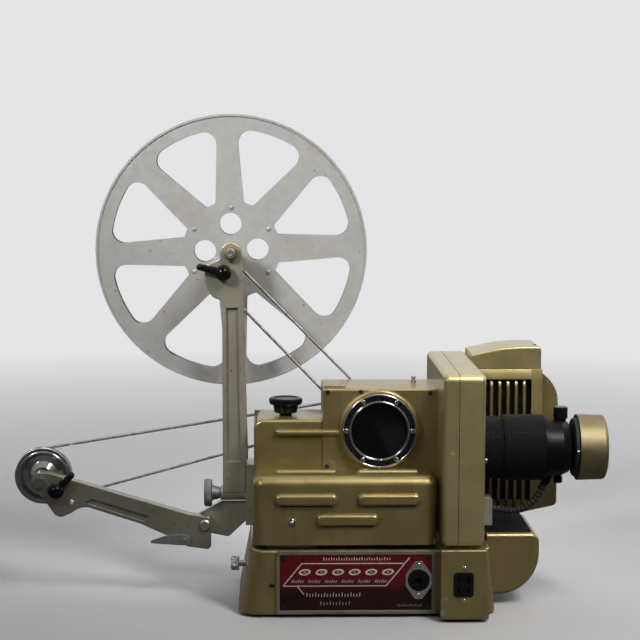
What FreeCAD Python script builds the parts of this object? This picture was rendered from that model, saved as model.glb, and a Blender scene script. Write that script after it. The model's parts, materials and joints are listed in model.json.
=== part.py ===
import FreeCAD, Part
import math
import os
import re

import Sketcher
from FreeCAD import Placement, Rotation, Vector

# A 16 mm sound film projector. X runs along the base, Y from the operator's side to the film
# side, Z up. Places below are measured from a datum on the reel spindle's plane (X), the
# mechanism case's front face (Y) and the table (Z); origin_x and origin_y shift every
# sub-part so that the origin is the bottom centre of the whole machine.

DIMENSIONS = {
    # frame origin, measured from the datum
    "origin_x": 96.35, "origin_y": 41.2,
    # amplifier base
    "base_left": 12, "base_left_top": 27, "base_right": 330, "base_right_top": 323,
    "base_front": -52, "base_back": 150, "base_low": 4, "base_top": 84,
    "base_wall": 3, "base_corner": 24, "foot_radius": 11, "foot_height": 5,
    # amplifier panel and sockets on the base's front
    "panel_left": 58.6, "panel_right": 254, "panel_low": 5, "panel_top": 83.4,
    "panel_border": 4.5, "frame_face": -54.5, "panel_face": -53.5,
    "socket_x": 233.3, "socket_z": 47.2, "socket_radius": 13.3, "socket_pitch": 38.1,
    "block_left": 258, "block_right": 314, "block_foot": 317, "block_front": -80, "block_top": 90,
    "inlet_x": 285.9, "inlet_z": 47.6, "inlet_width": 24.3, "inlet_height": 30,
    # louvre cover
    "cover_left": 30, "cover_right": 256, "cover_front": -50, "cover_low": 90, "cover_top": 175,
    "cover_rounding": 12, "sheet_metal": 2,
    "louvre_length": 77, "louvre_height": 15, "louvre_proud": 5.5, "louvre_rounding": 4.5,
    "louvre_left": 26, "louvre_step": 101,
    # drive housing, mechanism case and main plate
    "housing_left": 31, "housing_front": 3, "housing_top": 237,
    "case_left": 117, "case_right": 260, "case_front": 0, "case_top": 276, "case_wall": 3,
    "plate_front": 80, "plate_back": 86,
    "porthole_x": 187, "porthole_z": 225, "boss_radius": 50, "ring_radius": 46,
    "glass_radius": 35, "ring_face": -12, "boss_face": -6, "ring_screw_circle": 41.2,
    "rib_left": 58, "rib_low": 218.4, "rib_high": 224.4, "rib_face": -4, "rib_rounding": 2.8,
    "knob_x": 71, "knob_y": 40, "knob_radius": 21,
    # fan casing
    "fan_left": 260, "fan_split": 279, "fan_right": 311, "fan_front": -78, "fan_back": 164,
    "fan_low": 93, "fan_top": 304, "fan_corner": 9, "impeller_radius": 56, "blade_count": 12,
    # motor
    "motor_y": -3, "motor_z": 203, "motor_radius": 41, "flange_end": 343, "body_end": 390.5,
    "bell_end": 427, "bell_radius": 36, "grip_start": 433, "grip_end": 468, "grip_radius": 41,
    "shaft_radius": 4, "running_gap": 0.05,
    # optics
    "optical_y": 122, "optical_z": 224, "gate_x": 243, "lens_radius": 15, "lens_start": 150,
    "lens_end": 232, "light_hole": 16,
    # lamphouse and rear housing
    "lamp_front": 84, "lamp_back": 156, "lamp_right": 424, "hood_right": 401, "lamp_low": 100,
    "hood_low": 290, "hood_top": 319, "hood_foot": 384, "hood_drop": 3, "hood_crown": 357,
    "foot_start": 373.5, "foot_rise": 11, "lamp_shoulder": 44, "lamp_wall": 3,
    "fin_pitch": 10.6, "fin_width": 3.4, "fin_depth": 8,
    "rear_right": 390, "rear_front": 0, "rear_back": 124, "rear_low": 14, "rear_top": 92.6,
    # gear train
    "gear_module": 1.5, "main_teeth": 38, "sprocket_pinion_teeth": 20, "motor_teeth": 16,
    "shutter_teeth": 50, "gear_low": 12, "gear_high": 20,
    "main_x": 167, "main_z": 238, "shutter_y": 45, "shutter_radius": 84,
    "upper_sprocket_angle": 24, "lower_sprocket_angle": -80, "sprocket_radius": 12,
    "sprocket_teeth": 10, "drum_x": 160, "drum_z": 130, "flywheel_radius": 34,
    # belts and pulleys
    "belt_radius": 1.9, "upper_belt_y": 90, "lower_belt_y": 97, "drive_large": 18,
    "drive_small": 12.3, "upper_pulley_x": -7.7, "upper_pulley_z": 417, "upper_pulley": 17,
    "takeup_x": -242.4, "takeup_z": 149.4, "takeup_pulley": 34.5,
    # arms
    "spindle_x": 1.3, "spindle_z": 441, "arm_front": 52, "arm_back": 72, "barrel_z": 133,
    "barrel_radius": 9.3, "flange_left": 20.5, "hinge_x": -32, "hinge_z": 93,
    "lower_arm_front": 50, "lower_arm_back": 64, "lever_x": -220.4, "lever_z": 140.3,
    "spindle_radius": 4, "seat_face": 110, "spindle_end": 140,
    # reel
    "reel_radius": 175, "reel_front": 111, "reel_back": 130.4, "flange_sheet": 1,
    "core_radius": 57, "window_rim": 156, "window_apex": 49.8, "window_flare": 25.7,
    "window_flat": 62.7, "window_count": 8, "reel_turn": 2.1, "rim_width": 3,
}

# Route of the motor's corrugated lead: out of the bracket's side, in a low hanging bow and up
# into the gland under the motor.
CONDUIT_POINTS = [(323, -3, 125.8), (338, -3, 124.4), (352.5, -3, 121.8), (367, -3, 124.5), (380, -3, 133.2),
                  (388.8, -3, 145.6), (394, -3, 158)]
CONDUIT_RADIUS = 4.75

# Height of the shutter shaft, whose gear meshes with the motor pinion.
SHUTTER_Z = "motor_z + sqrt((gear_module * (motor_teeth + shutter_teeth) / 2)^2 - (shutter_y - motor_y)^2)"

MATING = {"XY": 1, "XZ": -1, "YZ": 1}
AXIS_PLANE = {"X": "YZ", "Y": "XZ", "Z": "XY"}

doc = FreeCAD.newDocument("film_projector")
sheet = doc.addObject("Spreadsheet::Sheet", "dim")
for row, (alias, number) in enumerate(DIMENSIONS.items(), start=1):
    sheet.set(f"A{row}", alias)
    sheet.set(f"B{row}", str(number))
    sheet.setAlias(f"B{row}", alias)
doc.recompute()

nodes = {}


def size(expression):
    """Value of an expression of the sheet, or of a plain number."""
    return float(sheet.evalExpression(str(expression)))


def words(expression):
    """The same expression as another object writes it: aliases become dim.alias."""
    def named(word):
        return f"dim.{word[0]}" if word[0] in DIMENSIONS else word[0]
    return re.sub(r"[A-Za-z_]\w*", named, str(expression))


# ---------------------------------------------------------------- sketches and features

def circle(u, v, radius):
    return ("circle", u, v, radius)


def polygon(*corners):
    return ("polygon", corners)


def rectangle(u_low, v_low, u_high, v_high):
    return polygon((u_low, v_low), (u_high, v_low), (u_high, v_high), (u_low, v_high))


def drive(sketch, constraint, expression):
    """Add a constraint whose value follows an expression of the sheet."""
    index = sketch.addConstraint(Sketcher.Constraint(*constraint, size(expression)))
    if isinstance(expression, str):
        sketch.setExpression(f"Constraints[{index}]", words(expression))


def draw(body, plane, shapes, offset):
    """A sketch on one of the body's origin planes, moved by offset = three expressions."""
    sketch = body.newObject("Sketcher::SketchObject", f"{body.Name}_sketch")
    plane_object = [item for item in body.Origin.OriginFeatures if item.Role == f"{plane}_Plane"]
    sketch.AttachmentSupport = [(plane_object[0], "")]
    sketch.MapMode = "FlatFace"
    for axis, expression in zip("xyz", offset):
        sketch.setExpression(f"AttachmentOffset.Base.{axis}", words(expression))
    for shape in shapes:
        if shape[0] == "circle":
            kind, u, v, radius = shape
            centre = Vector(size(u), size(v), 0)
            geo = sketch.addGeometry(Part.Circle(centre, Vector(0, 0, 1), size(radius)), False)
            drive(sketch, ("DistanceX", -1, 1, geo, 3), u)
            drive(sketch, ("DistanceY", -1, 1, geo, 3), v)
            drive(sketch, ("Radius", geo), radius)
        else:
            corners = shape[1]
            spots = [Vector(size(u), size(v), 0) for u, v in corners]
            first = sketch.GeometryCount
            for here, there in zip(spots, spots[1:] + spots[:1]):
                sketch.addGeometry(Part.LineSegment(here, there), False)
            for number, (u, v) in enumerate(corners):
                following = first + (number + 1) % len(corners)
                join = Sketcher.Constraint("Coincident", first + number, 2, following, 1)
                sketch.addConstraint(join)
                drive(sketch, ("DistanceX", -1, 1, first + number, 1), u)
                drive(sketch, ("DistanceY", -1, 1, first + number, 1), v)
    return sketch


def new_body(name):
    body = doc.addObject("PartDesign::Body", name)
    body.AllowCompound = True
    return body


def volume_of(body):
    return body.Tip.Shape.Volume if body.Tip else 0.0


def pad(body, axis, low, high, *shapes):
    """Add the shapes, extruded along axis from low to high."""
    plane = AXIS_PLANE[axis]
    level = f"({low})" if MATING[plane] > 0 else f"-({low})"
    sketch = draw(body, plane, shapes, (0, 0, level))
    before = volume_of(body)
    feature = body.newObject("PartDesign::Pad", f"{body.Name}_pad")
    feature.Profile = sketch
    feature.setExpression("Length", words(f"({high}) - ({low})"))
    feature.Reversed = plane == "XZ"
    doc.recompute()
    if feature.Shape.Volume <= before:
        raise RuntimeError(f"{feature.Name} adds nothing")
    return feature


def pocket(body, axis, low, high, *shapes):
    """Remove the shapes, extruded along axis from low to high."""
    plane = AXIS_PLANE[axis]
    level = f"({low})" if MATING[plane] > 0 else f"-({low})"
    sketch = draw(body, plane, shapes, (0, 0, level))
    before = volume_of(body)
    feature = body.newObject("PartDesign::Pocket", f"{body.Name}_pocket")
    feature.Profile = sketch
    feature.setExpression("Length", words(f"({high}) - ({low})"))
    feature.Reversed = plane != "XZ"
    doc.recompute()
    if feature.Shape.Volume >= before:
        raise RuntimeError(f"{feature.Name} cuts nothing")
    return feature


def revolve(body, axis, centre, profile, kind="Revolution"):
    """Turn a profile of (along, radius) corners about an axis through centre."""
    first, second = centre
    if axis == "X":
        plane, offset = "XZ", (0, second, f"-({first})")
    elif axis == "Y":
        plane, offset = "YZ", (0, second, first)
    else:
        plane, offset = "XZ", (first, 0, f"-({second})")
        profile = [(radius, along) for along, radius in profile]
    sketch = draw(body, plane, [polygon(*profile)], offset)
    feature = body.newObject(f"PartDesign::{kind}", f"{body.Name}_turn")
    feature.Profile = sketch
    feature.ReferenceAxis = (sketch, ["V_Axis" if axis == "Z" else "H_Axis"])
    feature.Angle = 360
    doc.recompute()
    return feature


def repeat(body, feature, count):
    """Repeat a feature round its own sketch's normal through the sketch's origin."""
    pattern = body.newObject("PartDesign::PolarPattern", f"{body.Name}_pattern")
    pattern.Originals = [feature]
    pattern.Axis = (feature.Profile[0], ["N_Axis"])
    pattern.Angle = 360
    pattern.setExpression("Occurrences", words(count))
    body.Tip = pattern
    doc.recompute()
    return pattern


def flat_at(axis, level):
    """Edges that lie in the plane where axis has this value."""
    level = size(level)

    def wanted(edge):
        box = edge.BoundBox
        low, high = {"X": (box.XMin, box.XMax), "Y": (box.YMin, box.YMax),
                     "Z": (box.ZMin, box.ZMax)}[axis]
        return abs(low - level) < 0.02 and abs(high - level) < 0.02
    return wanted


def corner_at(axis, first, second):
    """The edge parallel to axis through a corner given by its two other coordinates."""
    first, second = size(first), size(second)

    def wanted(edge):
        box = edge.BoundBox
        spans = {"X": (box.YMin, box.YMax, box.ZMin, box.ZMax),
                 "Y": (box.XMin, box.XMax, box.ZMin, box.ZMax),
                 "Z": (box.XMin, box.XMax, box.YMin, box.YMax)}[axis]
        aims = (first, first, second, second)
        return all(abs(span - aim) < 0.02 for span, aim in zip(spans, aims))
    return wanted


def any_of(*tests):
    return lambda edge: any(test(edge) for test in tests)


def all_of(*tests):
    return lambda edge: all(test(edge) for test in tests)


def round_edges(body, radius, wanted):
    """Fillet the edges of the body's tip for which wanted(edge) is true."""
    base = body.Tip
    names = [f"Edge{i}" for i, edge in enumerate(base.Shape.Edges, start=1) if wanted(edge)]
    if not names:
        raise RuntimeError(f"{body.Name}: no edge to round")
    fillet = body.newObject("PartDesign::Fillet", f"{body.Name}_round")
    fillet.Base = (base, names)
    fillet.setExpression("Radius", words(radius))
    doc.recompute()
    return fillet


def block(name, axis, low, high, outline, corners=()):
    """A body extruded from one outline, with rounded corners: (radius, corner, corner ...)."""
    body = new_body(name)
    pad(body, axis, low, high, polygon(*outline))
    for radius, *spots in corners:
        round_edges(body, radius, any_of(*[corner_at(axis, u, v) for u, v in spots]))
    return body


def turned(name, axis, centre, profile):
    body = new_body(name)
    revolve(body, axis, centre, profile)
    return body


# ---------------------------------------------------------------- primitives and booleans

def rod(name, axis, centre, low, high, radius):
    """A Part cylinder along axis from low to high; centre is its two other coordinates."""
    item = doc.addObject("Part::Cylinder", name)
    item.setExpression("Radius", words(radius))
    item.setExpression("Height", words(f"({high}) - ({low})"))
    first, second = centre
    if axis == "X":
        item.Placement = Placement(Vector(), Rotation(Vector(0, 1, 0), 90))
        base = (low, first, second)
    elif axis == "Y":
        item.Placement = Placement(Vector(), Rotation(Vector(1, 0, 0), -90))
        base = (first, low, second)
    else:
        base = (first, second, low)
    for letter, expression in zip("xyz", base):
        item.setExpression(f"Placement.Base.{letter}", words(expression))
    return item


def box(name, low, high):
    """A Part box between two corners."""
    item = doc.addObject("Part::Box", name)
    for letter, side, start, end in zip("xyz", ("Length", "Width", "Height"), low, high):
        item.setExpression(side, words(f"({end}) - ({start})"))
        item.setExpression(f"Placement.Base.{letter}", words(start))
    return item


def ball(name, centre, radius):
    item = doc.addObject("Part::Sphere", name)
    item.setExpression("Radius", words(radius))
    for letter, expression in zip("xyz", centre):
        item.setExpression(f"Placement.Base.{letter}", words(expression))
    return item


def fuse(name, parts):
    item = doc.addObject("Part::MultiFuse", name)
    item.Shapes = parts
    return item


def cut(name, base, tools):
    item = doc.addObject("Part::Cut", name)
    item.Base = base
    item.Tool = tools[0] if len(tools) == 1 else fuse(f"{name}_tools", tools)
    return item


def common(name, first, second):
    """What two solids have in common."""
    item = doc.addObject("Part::MultiCommon", name)
    item.Shapes = [first, second]
    doc.recompute()
    return item


def together(name, parts):
    item = doc.addObject("Part::Compound", name)
    item.Links = parts
    return item


def node(label, item):
    """Make an object a sub-part: its label, and its place in the machine's frame."""
    item.Label = label
    item.setExpression("Placement.Base.x", words("-origin_x"))
    item.setExpression("Placement.Base.y", words("-origin_y"))
    nodes[label] = item


# ---------------------------------------------------------------- amplifier base

def make_base():
    outer = block("base_outer", "Y", "base_front", "base_back",
                  [("base_left", "base_low"), ("base_right", "base_low"),
                   ("base_right_top", "base_top"), ("base_left_top", "base_top")])
    level = flat_at("Z", "base_low")
    top = flat_at("Z", "base_top")
    faces = any_of(flat_at("Y", "base_front"), flat_at("Y", "base_back"))
    round_edges(outer, "base_corner", lambda edge: faces(edge) and not level(edge) and not top(edge))
    round_edges(outer, 3, top)
    wall = "base_wall"
    inner = block("base_inner", "Y", f"base_front + {wall}", f"base_back - {wall}",
                  [(f"base_left + {wall}", "base_low - 1"), (f"base_right - {wall}", "base_low - 1"),
                   (f"base_right_top - {wall}", f"base_top - {wall}"),
                   (f"base_left_top + {wall}", f"base_top - {wall}")])
    ends = any_of(flat_at("Y", f"base_front + {wall}"), flat_at("Y", f"base_back - {wall}"))
    flats = any_of(flat_at("Z", "base_low - 1"), flat_at("Z", f"base_top - {wall}"))
    round_edges(inner, f"base_corner - {wall}", lambda edge: ends(edge) and not flats(edge))
    holes = [rod("base_socket_hole", "Y", ("socket_x", "socket_z"), "base_front - 1",
                 "base_front + 10", "socket_radius"),
             rod("base_knob_hole", "Y", (90, 48), "base_back - 10", "base_back + 1", 3.05)]
    node("base_housing", cut("base_housing", outer, [inner] + holes))

    plate = block("base_bottom_plate", "Z", "foot_height", "foot_height + 2",
                  [("base_left + 4", "base_front + 4"), ("base_right - 4", "base_front + 4"),
                   ("base_right - 4", "base_back - 4"), ("base_left + 4", "base_back - 4")],
                  [("base_corner", ("base_left + 4", "base_front + 4"),
                    ("base_right - 4", "base_front + 4"), ("base_right - 4", "base_back - 4"),
                    ("base_left + 4", "base_back - 4"))])
    node("base_bottom_plate", plate)

    feet = []
    for x in ("base_left + 36", "base_right - 28"):
        for y in ("base_front + 28", "base_back - 28"):
            feet.append(rod("foot", "Z", (x, y), 0, "foot_height", "foot_radius"))
    node("rubber_feet", together("rubber_feet", feet))


def make_panel():
    frame = new_body("panel_frame")
    pad(frame, "Y", "frame_face", "base_front",
        rectangle("panel_left", "panel_low", "panel_right", "panel_top"))
    pocket(frame, "Y", "frame_face", "base_front",
           rectangle("panel_left + panel_border", "panel_low + panel_border",
                     "panel_right - panel_border", "panel_top - panel_border"))
    corners = [corner_at("Y", x, z) for x in ("panel_left", "panel_right")
               for z in ("panel_low", "panel_top")]
    round_edges(frame, 3, any_of(*corners))
    node("panel_frame", frame)

    panel = new_body("amplifier_panel")
    pad(panel, "Y", "panel_face", "base_front",
        rectangle("panel_left + panel_border", "panel_low + panel_border",
                  "panel_right - panel_border", "panel_top - panel_border"))
    pocket(panel, "Y", "panel_face", "base_front", circle("socket_x", "socket_z", "socket_radius"))
    node("amplifier_panel", panel)

    flange = block("socket_flange", "Y", "panel_face - 1.5", "panel_face",
                   [("socket_x - 4.5", "socket_z + 23.6"), ("socket_x + 4.5", "socket_z + 23.6"),
                    ("socket_x + 16", "socket_z + 7"), ("socket_x + 16", "socket_z - 7"),
                    ("socket_x + 4.5", "socket_z - 23.6"), ("socket_x - 4.5", "socket_z - 23.6"),
                    ("socket_x - 16", "socket_z - 7"), ("socket_x - 16", "socket_z + 7")],
                   [(3.5, ("socket_x - 4.5", "socket_z + 23.6"), ("socket_x + 4.5", "socket_z + 23.6"),
                     ("socket_x + 4.5", "socket_z - 23.6"), ("socket_x - 4.5", "socket_z - 23.6"))])
    pocket(flange, "Y", "panel_face - 1.5", "panel_face",
           circle("socket_x", "socket_z", "socket_radius"))
    node("socket_flange", flange)

    insert = new_body("socket_insert")
    pad(insert, "Y", "panel_face - 3.2", "panel_face + 8",
        circle("socket_x", "socket_z", "socket_radius"))
    pins = []
    for turn in range(8):
        angle = math.radians(22.5 + 45 * turn)
        pins.append(circle(f"socket_x + {8.4 * math.cos(angle):.3f}",
                           f"socket_z + {8.4 * math.sin(angle):.3f}", 1.25))
    pocket(insert, "Y", "panel_face - 3.2", "panel_face + 5", circle("socket_x", "socket_z", 3.9), *pins)
    node("socket_insert", insert)


def make_connector():
    outline = [("block_left", "base_low"), ("block_foot", "base_low"), ("block_right", "block_top"),
               ("block_left", "block_top")]
    shell = block("connector_block", "Y", "block_front", "base_front", outline,
                  [(2, ("block_right", "block_top"), ("block_left", "block_top"))])
    round_edges(shell, 1.5, flat_at("Y", "block_front"))
    pocket(shell, "Y", "block_front + 2.5", "base_front",
           polygon(("block_left + 2.5", "base_low + 2.5"), ("block_foot - 2.6", "base_low + 2.5"),
                   ("block_right - 2.6", "block_top - 2.5"), ("block_left + 2.5", "block_top - 2.5")))
    left = "inlet_x - inlet_width / 2"
    right = "inlet_x + inlet_width / 2"
    low = "inlet_z - inlet_height / 2"
    high = "inlet_z + inlet_height / 2"
    pocket(shell, "Y", "block_front", "block_front + 2.5", rectangle(left, low, right, high))
    round_edges(shell, 4, any_of(*[corner_at("Y", u, v) for u in (left, right) for v in (low, high)]))
    node("connector_block", shell)

    inlet = block("power_connector", "Y", "block_front - 1.2", "block_front + 14",
                  [(left, low), (right, low), (right, high), (left, high)],
                  [(4, (left, low), (right, low), (right, high), (left, high))])
    slots = []
    for side in (-6.2, 6.2):
        for level in (-7, 7):
            slots.append(rectangle(f"inlet_x + {side} - 0.9", f"inlet_z + {level} - 4",
                                   f"inlet_x + {side} + 0.9", f"inlet_z + {level} + 4"))
    pocket(inlet, "Y", "block_front - 1.2", "block_front + 9", *slots)
    node("power_connector", inlet)

    terminal = turned("earth_terminal", "X", (0, 56),
                      [(2, 0), (2, 6), (4, 8.5), (12.5, 8.5), (12.5, 4), (21, 4), (21, 0)])
    node("earth_terminal", terminal)


def make_screws():
    """Black cheese-head screws and bright round-head screws, each kind one group."""
    black = new_body("black_screws")
    corners = [(x, z) for x in ("panel_left + 9", "panel_right - 9")
               for z in ("panel_low + 9", "panel_top - 9")]
    case = [("case_left + 6", "case_top - 4"), ("case_left + 47", "case_top - 3.5"),
            ("case_right - 9.7", "case_top - 5.5"), ("case_left + 5", "cover_top + 3.6")]
    cover = [(78, "cover_top - 57")]
    for face, spots, head in (("panel_face", corners, 2.6), ("case_front", case, 2.6),
                              ("cover_front", cover, 4.4)):
        pad(black, "Y", f"{face} - 1.4", face, *[circle(x, z, head) for x, z in spots])
        pocket(black, "Y", f"{face} - 1.4", f"{face} - 0.5",
               *[rectangle(f"{x} - {head}", f"{z} - 0.4", f"{x} + {head}", f"{z} + 0.4")
                 for x, z in spots])
    node("black_screws", black)

    bright = new_body("chrome_screws")
    ring = []
    for turn in range(6):
        angle = math.radians(60 * turn)
        ring.append((f"porthole_x + ring_screw_circle * {math.cos(angle):.5f}",
                     f"porthole_z + ring_screw_circle * {math.sin(angle):.5f}"))
    socket = [("socket_x", "socket_z + socket_pitch / 2"), ("socket_x", "socket_z - socket_pitch / 2")]
    inlet = [("inlet_x + 1", "inlet_z + 20.8"), ("inlet_x + 1", "inlet_z - 20")]
    for face, spots, head in (("ring_face", ring, 3.1), ("panel_face - 1.5", socket, 2.7),
                              ("block_front", inlet, 2.5)):
        level = f"{face} - 1.6"
        pad(bright, "Y", level, face, *[circle(x, z, head) for x, z in spots])
        round_edges(bright, 0.9, flat_at("Y", level))
    node("chrome_screws", bright)


def make_amplifier():
    core = box("transformer_core", (48, -42, "base_top"), (108, -6, "base_top + 52"))
    window = [box("core_window", (56, -43, "base_top + 8"), (73, -5, "base_top + 44")),
              box("core_window", (83, -43, "base_top + 8"), (100, -5, "base_top + 44"))]
    coil = box("transformer_coil", (57, -46.5, "base_top + 9"), (99, -1.5, "base_top + 43"))
    frame = cut("transformer_frame", core, window)
    winding = cut("transformer_winding", coil, [frame])
    node("mains_transformer", together("mains_transformer", [frame, winding]))

    valves = []
    for x in (140, 172, 204):
        valves.append(turned("valve", "Z", (x, -24),
                             [("base_top", 0), ("base_top", 15), ("base_top + 14", 15),
                              ("base_top + 14", 12), ("base_top + 56", 12), ("base_top + 64", 7),
                              ("base_top + 70", 2.5), ("base_top + 74", 0)]))
    node("amplifier_valves", together("amplifier_valves", valves))

    knob = turned("volume_knob", "Y", (90, 48),
                  [("base_back - 9", 0), ("base_back - 9", 3), ("base_back + 0.3", 3),
                   ("base_back + 0.3", 13), ("base_back + 4", 13), ("base_back + 5", 10.5),
                   ("base_back + 13", 9.5), ("base_back + 13", 0)])
    pocket(knob, "Y", "base_back + 12", "base_back + 13", rectangle(89.2, 51, 90.8, 56))
    node("volume_knob", knob)


# ---------------------------------------------------------------- louvre cover

def make_cover():
    corner = "housing_front"
    outer = block("cover_outer", "Z", "cover_low", "cover_top",
                  [("cover_left", "cover_front"), ("cover_right", "cover_front"),
                   ("cover_right", "case_front"), ("case_left", "case_front"),
                   ("case_left", corner), ("cover_left", corner)])
    round_edges(outer, "cover_rounding + 1", any_of(corner_at("Z", "cover_left", "cover_front"),
                                                    corner_at("Z", "cover_right", "cover_front")))
    top = flat_at("Z", "cover_top")
    back = any_of(flat_at("Y", "case_front"), flat_at("Y", corner), flat_at("X", "case_left"))
    round_edges(outer, "cover_rounding", lambda edge: top(edge) and not back(edge))

    left_side = "housing_left + louvre_left"
    right_side = f"{left_side} + louvre_step"
    louvres = [(left_side, "cover_top - 36"), (right_side, "cover_top - 36"),
               (f"{left_side} + louvre_step / 2", "cover_top - 61")]
    for x, z in louvres:
        pad(outer, "Y", "cover_front - louvre_proud", "cover_front + 1",
            rectangle(x, z, f"{x} + louvre_length", f"{z} + louvre_height"))
    spots = []
    for x, z in louvres:
        for u in (x, f"{x} + louvre_length"):
            for v in (z, f"{z} + louvre_height"):
                spots.append(corner_at("Y", u, v))
    round_edges(outer, "louvre_rounding + 2", any_of(*spots))
    round_edges(outer, "louvre_rounding", flat_at("Y", "cover_front - louvre_proud"))
    crown = "cover_top + louvre_proud"
    for x in (left_side, right_side):
        pad(outer, "Z", "cover_top - 1", crown,
            rectangle(x, "cover_front + 15", f"{x} + louvre_length", "cover_front + 30"))
    spots = []
    for x in (left_side, right_side):
        for u in (x, f"{x} + louvre_length"):
            for v in ("cover_front + 15", "cover_front + 30"):
                spots.append(corner_at("Z", u, v))
    round_edges(outer, "louvre_rounding + 2", any_of(*spots))
    round_edges(outer, "louvre_rounding", flat_at("Z", crown))

    wall = "sheet_metal"
    near, far = f"cover_left + {wall}", f"cover_right - {wall}"
    inner = block("cover_inner", "Z", "cover_low - 1", f"cover_top - {wall}",
                  [(near, f"cover_front + {wall}"), (far, f"cover_front + {wall}"),
                   (far, f"{corner} + 1"), (near, f"{corner} + 1")],
                  [(11, (near, f"cover_front + {wall}"), (far, f"cover_front + {wall}"))])
    ceiling = flat_at("Z", f"cover_top - {wall}")
    open_back = flat_at("Y", f"{corner} + 1")
    round_edges(inner, 10, lambda edge: ceiling(edge) and not open_back(edge))
    end, skin = 6, 1.6
    slots = []
    for x, z in louvres:
        slots.append(box("louvre_slot", (f"{x} + {end}", f"cover_front - louvre_proud + {skin}", f"{z} - 1"),
                         (f"{x} + louvre_length - {end}", f"cover_front + {wall} + 1", f"{z} + 9")))
    for x in (left_side, right_side):
        slots.append(box("louvre_slot", (f"{x} + {end}", "cover_front + 14", f"cover_top - {wall} - 1"),
                         (f"{x} + louvre_length - {end}", "cover_front + 24", f"{crown} - {skin}")))
    node("louvre_cover", cut("louvre_cover", outer, [inner] + slots))


# ---------------------------------------------------------------- drive housing and case

def front_rib(name, left, right, seam):
    """Half-round moulding across the front, square where it meets its neighbour at the seam."""
    rib = block(name, "Y", "rib_face", "case_front + 1",
                [(left, "rib_low"), (right, "rib_low"), (right, "rib_high"), (left, "rib_high")])
    face = flat_at("Y", "rib_face")
    joint = flat_at("X", seam)
    round_edges(rib, "rib_rounding", lambda edge: face(edge) and not joint(edge))
    return rib


def make_cases():
    wall = "case_wall"
    housing = block("drive_housing_shell", "Y", "housing_front", "plate_front",
                    [("housing_left", "base_top"), ("case_left", "base_top"),
                     ("case_left", "housing_top"), ("housing_left", "housing_top")],
                    [(12, ("housing_left", "housing_top"))])
    front = flat_at("Y", "housing_front")
    seam = any_of(flat_at("X", "case_left"), flat_at("Z", "base_top"))
    round_edges(housing, 4, lambda edge: front(edge) and not seam(edge))
    pocket(housing, "Y", f"housing_front + {wall}", "plate_front",
           rectangle(f"housing_left + {wall}", f"base_top + {wall}", f"case_left - {wall}",
                     f"housing_top - {wall}"))
    rib = front_rib("housing_rib", "rib_left", "case_left", "case_left")
    backing = box("housing_rib_back", ("rib_left", "case_front", "rib_low"),
                  ("case_left", "housing_front + 1", "rib_high"))
    hole = rod("knob_hole", "Z", ("knob_x", "knob_y"), f"housing_top - {wall} - 1", "housing_top + 1",
               "shaft_radius + running_gap")
    node("drive_housing", cut("drive_housing", fuse("housing_solid", [housing, backing, rib]), [hole]))

    case = new_body("mechanism_case")
    pad(case, "Y", "case_front", "plate_front",
        rectangle("case_left", "base_top", "case_right", "case_top"))
    front = flat_at("Y", "case_front")
    round_edges(case, 2.5, all_of(front, flat_at("Z", "case_top")))
    pad(case, "Y", "boss_face", "case_front + 1", circle("porthole_x", "porthole_z", "boss_radius"))
    round_edges(case, 3, flat_at("Y", "boss_face"))
    pad(case, "Z", "case_top - 1", "case_top + 2",
        rectangle("case_left + 2", "case_front + 12", "case_left + 28", "plate_front - 8"))
    pocket(case, "Y", f"case_front + {wall}", "plate_front",
           rectangle(f"case_left + {wall}", f"base_top + {wall}", f"case_right - {wall}",
                     f"case_top - {wall}"))
    pocket(case, "Y", "boss_face", f"case_front + {wall}",
           circle("porthole_x", "porthole_z", "glass_radius - 2"))
    pocket(case, "Y", "boss_face", "boss_face + 3",
           circle("porthole_x", "porthole_z", "glass_radius + 1"))
    pocket(case, "X", f"case_right - {wall}", "case_right",
           circle("shutter_y", SHUTTER_Z, "shaft_radius + running_gap"))
    rib = front_rib("case_rib", "case_left", "porthole_x - boss_radius + 2", "case_left")
    node("mechanism_case", fuse("mechanism_case_solid", [case, rib]))

    ring = turned("porthole_ring", "Y", ("porthole_x", "porthole_z"),
                  [("boss_face", "glass_radius"), ("boss_face", "ring_radius"),
                   ("ring_face + 1.5", "ring_radius"), ("ring_face", "ring_radius - 1.5"),
                   ("ring_face", "glass_radius + 1.2"), ("ring_face + 1.2", "glass_radius")])
    node("porthole_ring", ring)
    glass = turned("porthole_glass", "Y", ("porthole_x", "porthole_z"),
                   [("boss_face", 0), ("boss_face", "glass_radius + 0.9"),
                    ("boss_face + 3", "glass_radius + 0.9"), ("boss_face + 3", 0)])
    node("porthole_glass", glass)

    knob = turned("clutch_knob", "Z", ("knob_x", "knob_y"),
                  [("housing_top - 12", 0), ("housing_top - 12", "shaft_radius"),
                   ("housing_top + 0.3", "shaft_radius"), ("housing_top + 0.3", 8),
                   ("housing_top + 4", 8), ("housing_top + 4", 14.5), ("housing_top + 13", 15.8),
                   ("housing_top + 14.5", "knob_radius - 1"), ("housing_top + 17", "knob_radius"),
                   ("housing_top + 21", "knob_radius"), ("housing_top + 22.5", "knob_radius - 2"),
                   ("housing_top + 22.5", "knob_radius - 5"), ("housing_top + 21.5", "knob_radius - 6.5"),
                   ("housing_top + 21.5", 0)])
    flutes = []
    for turn in range(24):
        angle = 2 * math.pi * turn / 24
        flutes.append(circle(f"knob_x + (knob_radius + 0.4) * {math.cos(angle):.5f}",
                             f"knob_y + (knob_radius + 0.4) * {math.sin(angle):.5f}", 1.1))
    pocket(knob, "Z", "housing_top + 14", "housing_top + 23", *flutes)
    node("clutch_knob", knob)


def sprocket_place(angle):
    """Centre of a sprocket shaft whose pinion meshes with the main gear at this angle."""
    reach = "gear_module * (main_teeth + sprocket_pinion_teeth) / 2"
    return f"main_x + {reach} * cos({angle})", f"main_z + {reach} * sin({angle})"


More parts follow.
